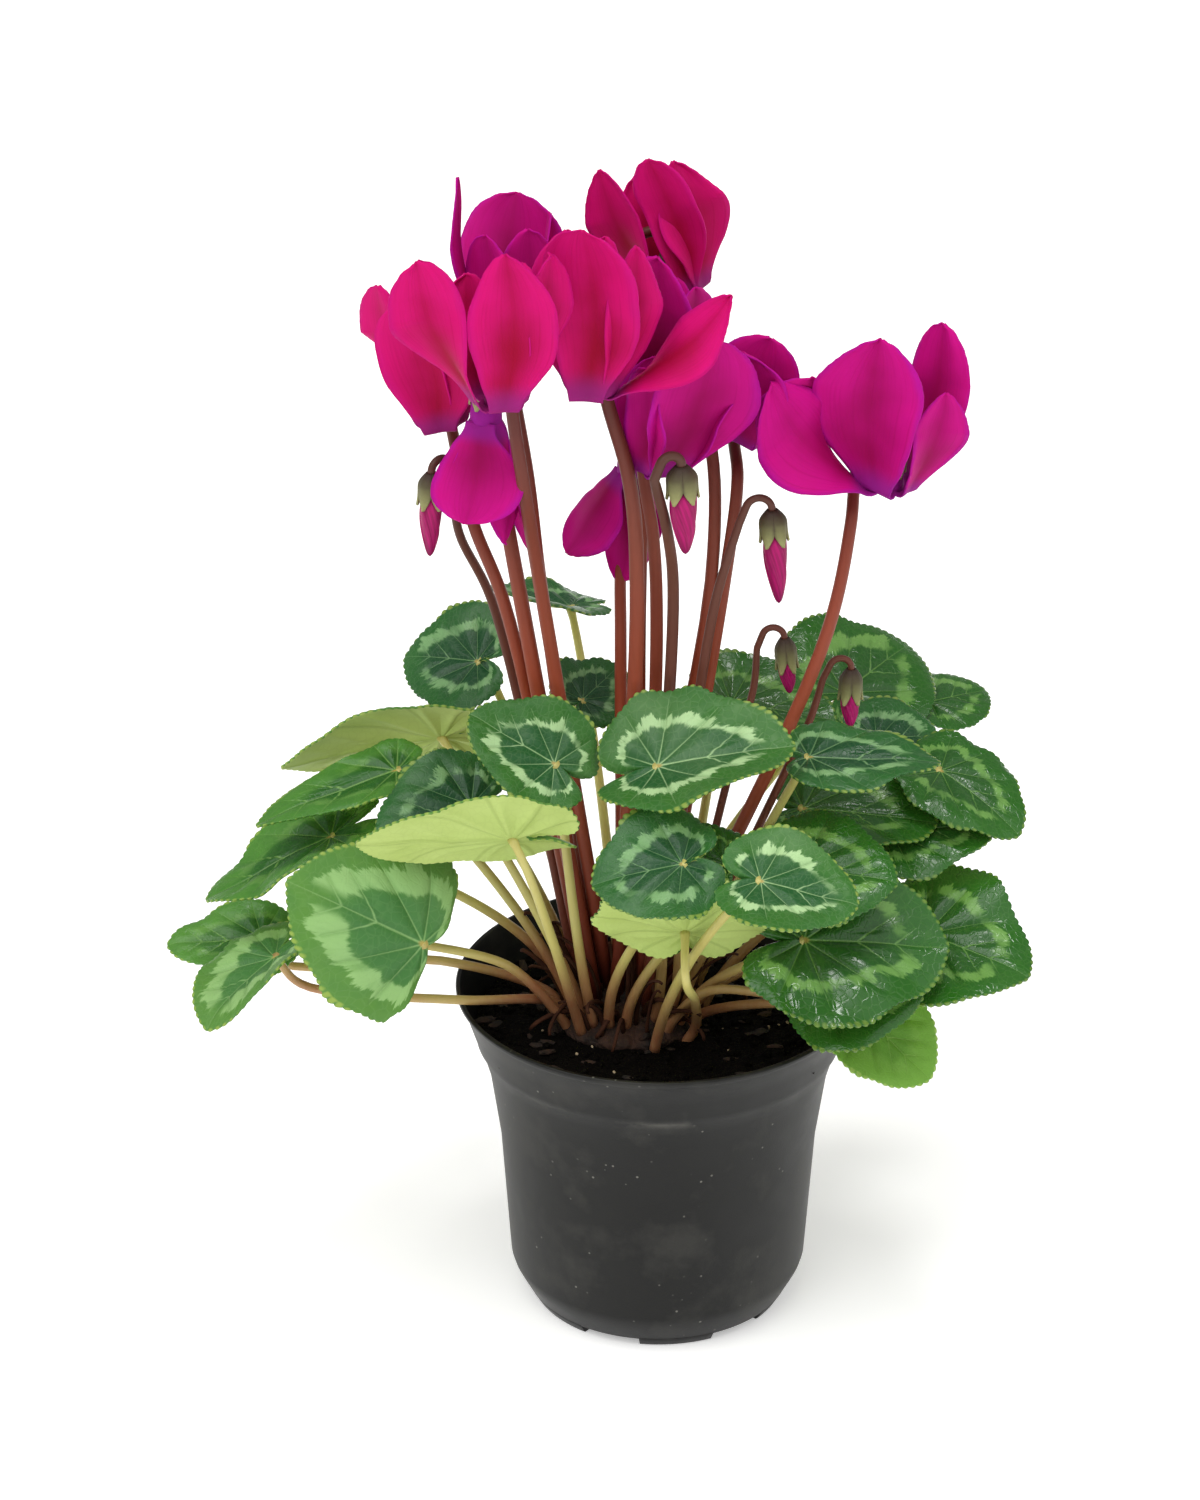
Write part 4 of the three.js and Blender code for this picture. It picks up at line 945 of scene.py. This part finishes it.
dark = add(tree, "Math", seam, foot, **HIGHER)
dark = add(tree, "Math", fleck, 0.35, dark, use_clamp=True, **BOTH)
shade = add(tree, "Mix", dark, green, "#3A2A1E", **TINTS)
wire(surface, {"Base Color": shade, "Roughness": 0.7})

for name, mouth, lean, bearing, root, foot, top, via, _ in FLOWERS:
    seat = flower_frame(mouth, lean)
    line = scape(seat, STALK_END, HOOK_R, bearing, root, via)
    stalk = hooked_stalk(f"flower_stalk_{name}", line, foot, top, flower_stalk_skin)
    cup = calyx(f"calyx_{name}", seat, CALYX_EDGE, CALYX_LONG, CALYX_R, CALYX_FLARE, calyx_skin)
    for part in (stalk, cup):
        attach(part, "root")
        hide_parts(f"stalk_{name}")

# ---------------------------------------------------------------- petals
# One corolla for each flower, grown in one piece: a short tube with its mouth down, from
# whose rim five thin petals turn sharply back and stand up, slightly twisted.
PETAL_BEND, BEND_FROM = 3.6, 140
PETAL_THICK = 0.4
PETAL_STEPS, PETAL_COLUMNS, PETAL_ROWS = 120, 16, 44
# Half breadth along the petal for a rounded, a pointed and a cut-off end
PETAL_ROUND = [(0, 0.16), (0.1, 0.18), (0.25, 0.31), (0.45, 0.45), (0.65, 0.5), (0.8, 0.46),
               (0.91, 0.33), (0.97, 0.18), (1, 0.03)]
PETAL_POINT = [(0, 0.16), (0.1, 0.18), (0.25, 0.33), (0.4, 0.46), (0.55, 0.5), (0.7, 0.45),
               (0.84, 0.3), (0.94, 0.15), (1, 0.02)]
PETAL_BROAD = [(0, 0.16), (0.1, 0.18), (0.25, 0.3), (0.45, 0.42), (0.65, 0.49), (0.82, 0.5),
               (0.93, 0.42), (0.985, 0.24), (1, 0.04)]
# Shape of its face: uneven breadth, waved sides, crease along the middle, trough, ripples, swing
LOPSIDED, WAVE, CREASE, CREASE_WIDE, TROUGH, PUCKER, SWING = 0.2, 1.8, 0.35, 0.3, 0.3, 0.9, 0.055
TUBE_PROFILE = [(2.6, 6.5), (3.2, 6), (3.75, 2.5), (3.8, 0.6), (3.3, 0)]
TUBE_SIDES = 30
WARM = "far_left front_left middle top"


def petal(bm, layer, seat, bearing, flare, long, wide, twist=16, curl=0, end=0.4):
    """A petal as a sheet: its middle line folds back at the mouth, its cross-section is arched."""
    out, up = bearing_in(seat, bearing), seat[1]
    side = up.cross(out)
    line = []
    point = seat[0] + out * (TUBE_R - 0.6) + up
    for i in range(PETAL_STEPS + 1):
        run = i / PETAL_STEPS * long
        lean = flare + curl * (run - PETAL_BEND) / (long - PETAL_BEND)
        if run < PETAL_BEND:
            lean = BEND_FROM + (flare - BEND_FROM) * run / PETAL_BEND
        a = math.radians(lean)
        w = math.radians(twist * min(1, 1.5 * i / PETAL_STEPS) ** 2)
        normal = out * math.cos(a) - up * math.sin(a)
        line.append((point.copy(), side * math.cos(w) + normal * math.sin(w),
                     normal * math.cos(w) - side * math.sin(w)))
        point += (up * math.cos(a) + out * math.sin(a)) * (long / PETAL_STEPS)
    ends = PETAL_POINT if end > 0 else PETAL_BROAD
    for v, (x, t) in sheet(bm, layer, PETAL_COLUMNS, PETAL_ROWS).items():
        s = 2 * x - 1
        t = 1 - (1 - t) ** 1.15 if t > 0 else 0
        centre, sideways, normal = line[round(t * PETAL_STEPS)]
        half = smooth(PETAL_ROUND, t)
        half = wide * (half + abs(end) * (smooth(ends, t) - half))
        half *= 1 + LOPSIDED * t * noise.noise((t * 3 + bearing, 3 * math.copysign(1, s), long))
        lift = TROUGH * half * s * s * min(1, 3 * t) * (1 - 0.8 * t)
        lift += WAVE * noise.noise((t * 2.6 + bearing, s, long)) * abs(s) ** 1.5 * min(1, 2 * t)
        lift -= CREASE * math.exp(-(s / CREASE_WIDE) ** 2) * math.sin(math.pi * min(1, t * 1.1))
        lift += PUCKER * noise.noise((s * 1.1 + bearing, t * 2.4, long)) * t
        swing = math.copysign(SWING, twist) * long * math.sin(math.pi * t) * min(1, 3 * t)
        v.co = centre + sideways * (s * half + swing) + normal * lift


# Petals are velvety: crimson along the middle, magenta to the sides, with fine lengthwise
# veins, a violet margin and a paler violet foot round the mouth.
def petal_skin(name, middle, side, margin, foot):
    made, tree, surface, place = material(name)
    coords = add(tree, "UVMap", uv_map="petal")
    from_side, from_foot, _ = add(tree, "SeparateXYZ", coords).outputs
    cloud = add(tree, "TexNoise", place, across(16.67), 2)
    patch = add(tree, "TexNoise", place, across(11.76), 1)
    along = add(tree, "Mapping", {"Vector": coords, "Scale": (34, 1.4, 1)})
    veins = add(tree, "TexNoise", along, 1, 3, 0.6)
    off = add(tree, "Math", add(tree, "Math", from_side, 0.5, **LESS), **SIZE)
    off = add(tree, "Math", cloud, 0.25, off, **BOTH)
    paler = add(tree, "MapRange", from_foot, 0.25, 1, 0, 0.3, **EASED)
    paler = add(tree, "Math", paler, off)
    paler = add(tree, "Math", patch, 0.4, paler, **BOTH)
    shade = middle
    for value, low, high, start, end, tint in [
            (paler, 0.22, 0.92, 0, 1, side), (veins, 0.45, 0.8, 0, 0.35, middle),
            (off, 0.52, 0.64, 0, 0.5, margin), (from_foot, 0.08, 0.22, 0.8, 0, foot)]:
        cover = add(tree, "MapRange", value, low, high, start, end, **EASED)
        shade = add(tree, "Mix", cover, shade, tint, **TINTS)
    bump = add(tree, "Bump", {"Strength": 0.3, "Distance": 0.2 * MM, "Height": veins})
    wire(surface, {"Base Color": shade, "Normal": bump, "Roughness": 0.7, "IOR": 1.3,
                   "Specular IOR Level": 0.25, "Subsurface Weight": 0.15,
                   "Subsurface Radius": (1, 0.05, 0.4), "Subsurface Scale": 1.2 * MM})
    return made


warm_petal = petal_skin("velvety_crimson_magenta_petal", "#98002E", "#CE0C70", "#BC0C78", "#8A2476")
cool_petal = petal_skin("velvety_violet_magenta_petal", "#90004C", "#C20A80", "#A0109A", "#8A1C86")

for name, mouth, lean, _, _, _, _, _, petals in FLOWERS:
    seat = flower_frame(mouth, lean)
    bm = bmesh.new()
    layer = bm.loops.layers.uv.new("petal")
    for row in petals:
        petal(bm, layer, seat, *row)
    stand = Matrix((seat[2], seat[3], seat[1])).transposed().to_4x4()
    draw_out(bm, [Matrix.Translation(seat[0] + seat[1] * z) @ stand @ Matrix.Diagonal((r, r, 1, 1))
                  for r, z in TUBE_PROFILE], TUBE_SIDES, False)
    corolla = solid(f"corolla_{name}", bm, [warm_petal if name in WARM.split() else cool_petal])
    wall = corolla.modifiers.new("thickness", "SOLIDIFY")
    wall.thickness, wall.offset = PETAL_THICK * MM, 0
    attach(corolla, "root")
    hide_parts(f"petals_{name}")

# ---------------------------------------------------------------- buds
# Five unopened flowers hang from thin hooked stalks: petals furled round each other into a
# twisted point, held by a calyx of five ribbed sepals.
# Each row: name, foot of the furled petals, way it points up, bearing of the stalk, root, stalk
# radius at foot and top, radius of its hook, way points, length and radius of the furled petals.
BUDS = [
    ["left", [-57, -3, 226.5], [0.3, 0, 10], 40, [-20, 4.5], 1.3, 1.0, 2.8, [[-50.5, 5, 216],
     [-42, 10.5, 192.5]], 14, 2.7],
    ["middle", [5, -21, 236.5], [-0.5, 0, 10], 200, [-3.2, -6.4], 1.6, 1.2, 2.8, [[1.5, -16, 224],
     [3, -7, 202]], 15, 3.3],
    ["right", [28, -4, 217], [-0.8, 0, 10], 185, [-0.8, -2.2], 1.4, 0.95, 3.3, [[16.5, -5, 213],
     [13, -4.5, 198]], 17, 2.9],
    ["small_back", [32, 4, 178], [-1, 0, 10], 178, [4.5, 6.2], 1.1, 0.85, 2.8, [[23.5, 4.5, 172],
     [19.5, 2, 158]], 7, 2.2],
    ["small_right", [48, 2.5, 170], [0, 0, 10], 187, [4, 1.3], 1.1, 0.85, 2.8, [[38, 0.5, 166],
     [31, -1.5, 150]], 8, 2.4],
]
BUD_SLANT, BUD_STALK_END, BUD_LEAD = 25, 9, 1.5
BUD_CALYX_EDGE, BUD_CALYX_LONG, BUD_CALYX_FLARE = 8.6, 9, 1.6
FURLED_IN, FURLED_TURN, FOLDS = 3, 0.28, 5
FURLED_COLUMNS, FURLED_ROWS = 60, 30
FURLED_SHAPE = [(0, 0.5), (0.08, 0.9), (0.3, 1), (0.6, 0.82), (0.85, 0.5), (0.96, 0.26), (1, 0.02)]

# Stalks of buds are darker than those of open flowers.
bud_stalk_skin = scape_skin("dark_bud_stalk", "#7C3C2C", "#6E3A2C", "#4F322A")

# Furled petals: a smoother, closer skin than that of open ones, deep magenta with darker streaks
# that wind with the twist, darkest at the tip.
furled_skin, tree, surface, place = material("furled_magenta_petal")
coords = add(tree, "UVMap", uv_map="petal")
from_foot = add(tree, "SeparateXYZ", coords).outputs["Y"]
along = add(tree, "Mapping", {"Vector": coords, "Scale": (30, 2, 1)})
streak = add(tree, "TexNoise", along, 1, 3)
streak = add(tree, "MapRange", streak, 0.35, 0.7)
shade = add(tree, "Mix", streak, "#B40A6A", "#800648", **TINTS)
tip = add(tree, "MapRange", from_foot, 0.75, 1, 0, 0.6)
shade = add(tree, "Mix", tip, shade, "#6E0440", **TINTS)
wire(surface, {"Base Color": shade, "Roughness": 0.5, "Specular IOR Level": 0.25,
               "Subsurface Weight": 0.12, "Subsurface Radius": (1, 0.2, 0.5),
               "Subsurface Scale": 1 * MM})

for name, mouth, lean, bearing, root, foot, top, bend, via, long, wide in BUDS:
    seat = flower_frame(mouth, lean)
    line = scape(seat, BUD_STALK_END, bend, bearing, root, via, BUD_SLANT, [BUD_LEAD])
    stalk = hooked_stalk(f"bud_stalk_{name}", line, foot, top, bud_stalk_skin)
    cup = calyx(f"bud_calyx_{name}", seat, BUD_CALYX_EDGE, BUD_CALYX_LONG, wide * 1.05,
                BUD_CALYX_FLARE, calyx_skin)
    bm = bmesh.new()
    layer = bm.loops.layers.uv.new("petal")
    for v, (x, t) in sheet(bm, layer, FURLED_COLUMNS, FURLED_ROWS).items():
        fold = (FOLDS * x) % 1 if x < 0.999 else 0
        r = wide * smooth(FURLED_SHAPE, t) * (0.92 + 0.16 * fold)
        out = bearing_in(seat, 360 * (x + FURLED_TURN * t))
        v.co = seat[0] + seat[1] * (FURLED_IN - (long + FURLED_IN) * t) + out * r
    bmesh.ops.remove_doubles(bm, verts=bm.verts, dist=WELD)
    bmesh.ops.holes_fill(bm, edges=[e for e in bm.edges if e.is_boundary], sides=0)
    bmesh.ops.recalc_face_normals(bm, faces=bm.faces)
    furled = solid(f"furled_petals_{name}", bm, [furled_skin])
    for part in (stalk, cup, furled):
        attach(part, "root")
        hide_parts(f"bud_{name}")

# ---------------------------------------------------------------- floor, light and camera
# A plain pale floor under soft studio light, seen from a little above, as in the photograph. The
# floor glows a little, so that it stays white and the shadow on it stays faint. Lamps and
# camera are placed in metres.
FLOOR_HALF = 14000
LAMPS = [("key", (-0.8, -0.9, 1.7), 55, 1.85),
         ("fill", (1.2, -1.0, 1.1), 70, 0.7),
         ("window", (0.2, -0.1, 1.5), 12, 0.7)]
pale_floor, tree, surface, _ = material("plain_pale_floor")
wire(surface, {"Base Color": "#FBFBFA", "Roughness": 0.9,
               "Emission Color": "#FFFFFF", "Emission Strength": 0.36})
bm = bmesh.new()
bmesh.ops.create_grid(bm, x_segments=1, y_segments=1, size=FLOOR_HALF)
floor = solid("floor", bm, [pale_floor], smooth_shaded=False)

world = bpy.data.worlds.new("soft studio")
bpy.context.scene.world = world
world.use_nodes = True
wire(world.node_tree.nodes["Background"], "#FBF9F6", 0.32)
for name, spot, width, power in LAMPS:
    lamp = bpy.data.lights.new(name, "SUN")
    lamp.angle, lamp.energy = math.radians(width), power
    held = bpy.data.objects.new(name, lamp)
    held.location = spot
    held.rotation_euler = (-Vector(spot)).to_track_quat("-Z", "Y").to_euler()
    bpy.context.scene.collection.objects.link(held)

lens = bpy.data.cameras.new("camera")
lens.sensor_fit, lens.sensor_width, lens.sensor_height = "VERTICAL", 36, 36
lens.lens = 139.32
lens.clip_end = 40
camera = bpy.data.objects.new("camera", lens)
camera.location = (-0.0152, -1.3081, 0.8241)
camera.rotation_euler = (math.radians(62.98), 0, 0)
bpy.context.scene.collection.objects.link(camera)
bpy.context.scene.camera = camera
bpy.context.scene.view_settings.view_transform = "Standard"

bpy.context.view_layer.update()
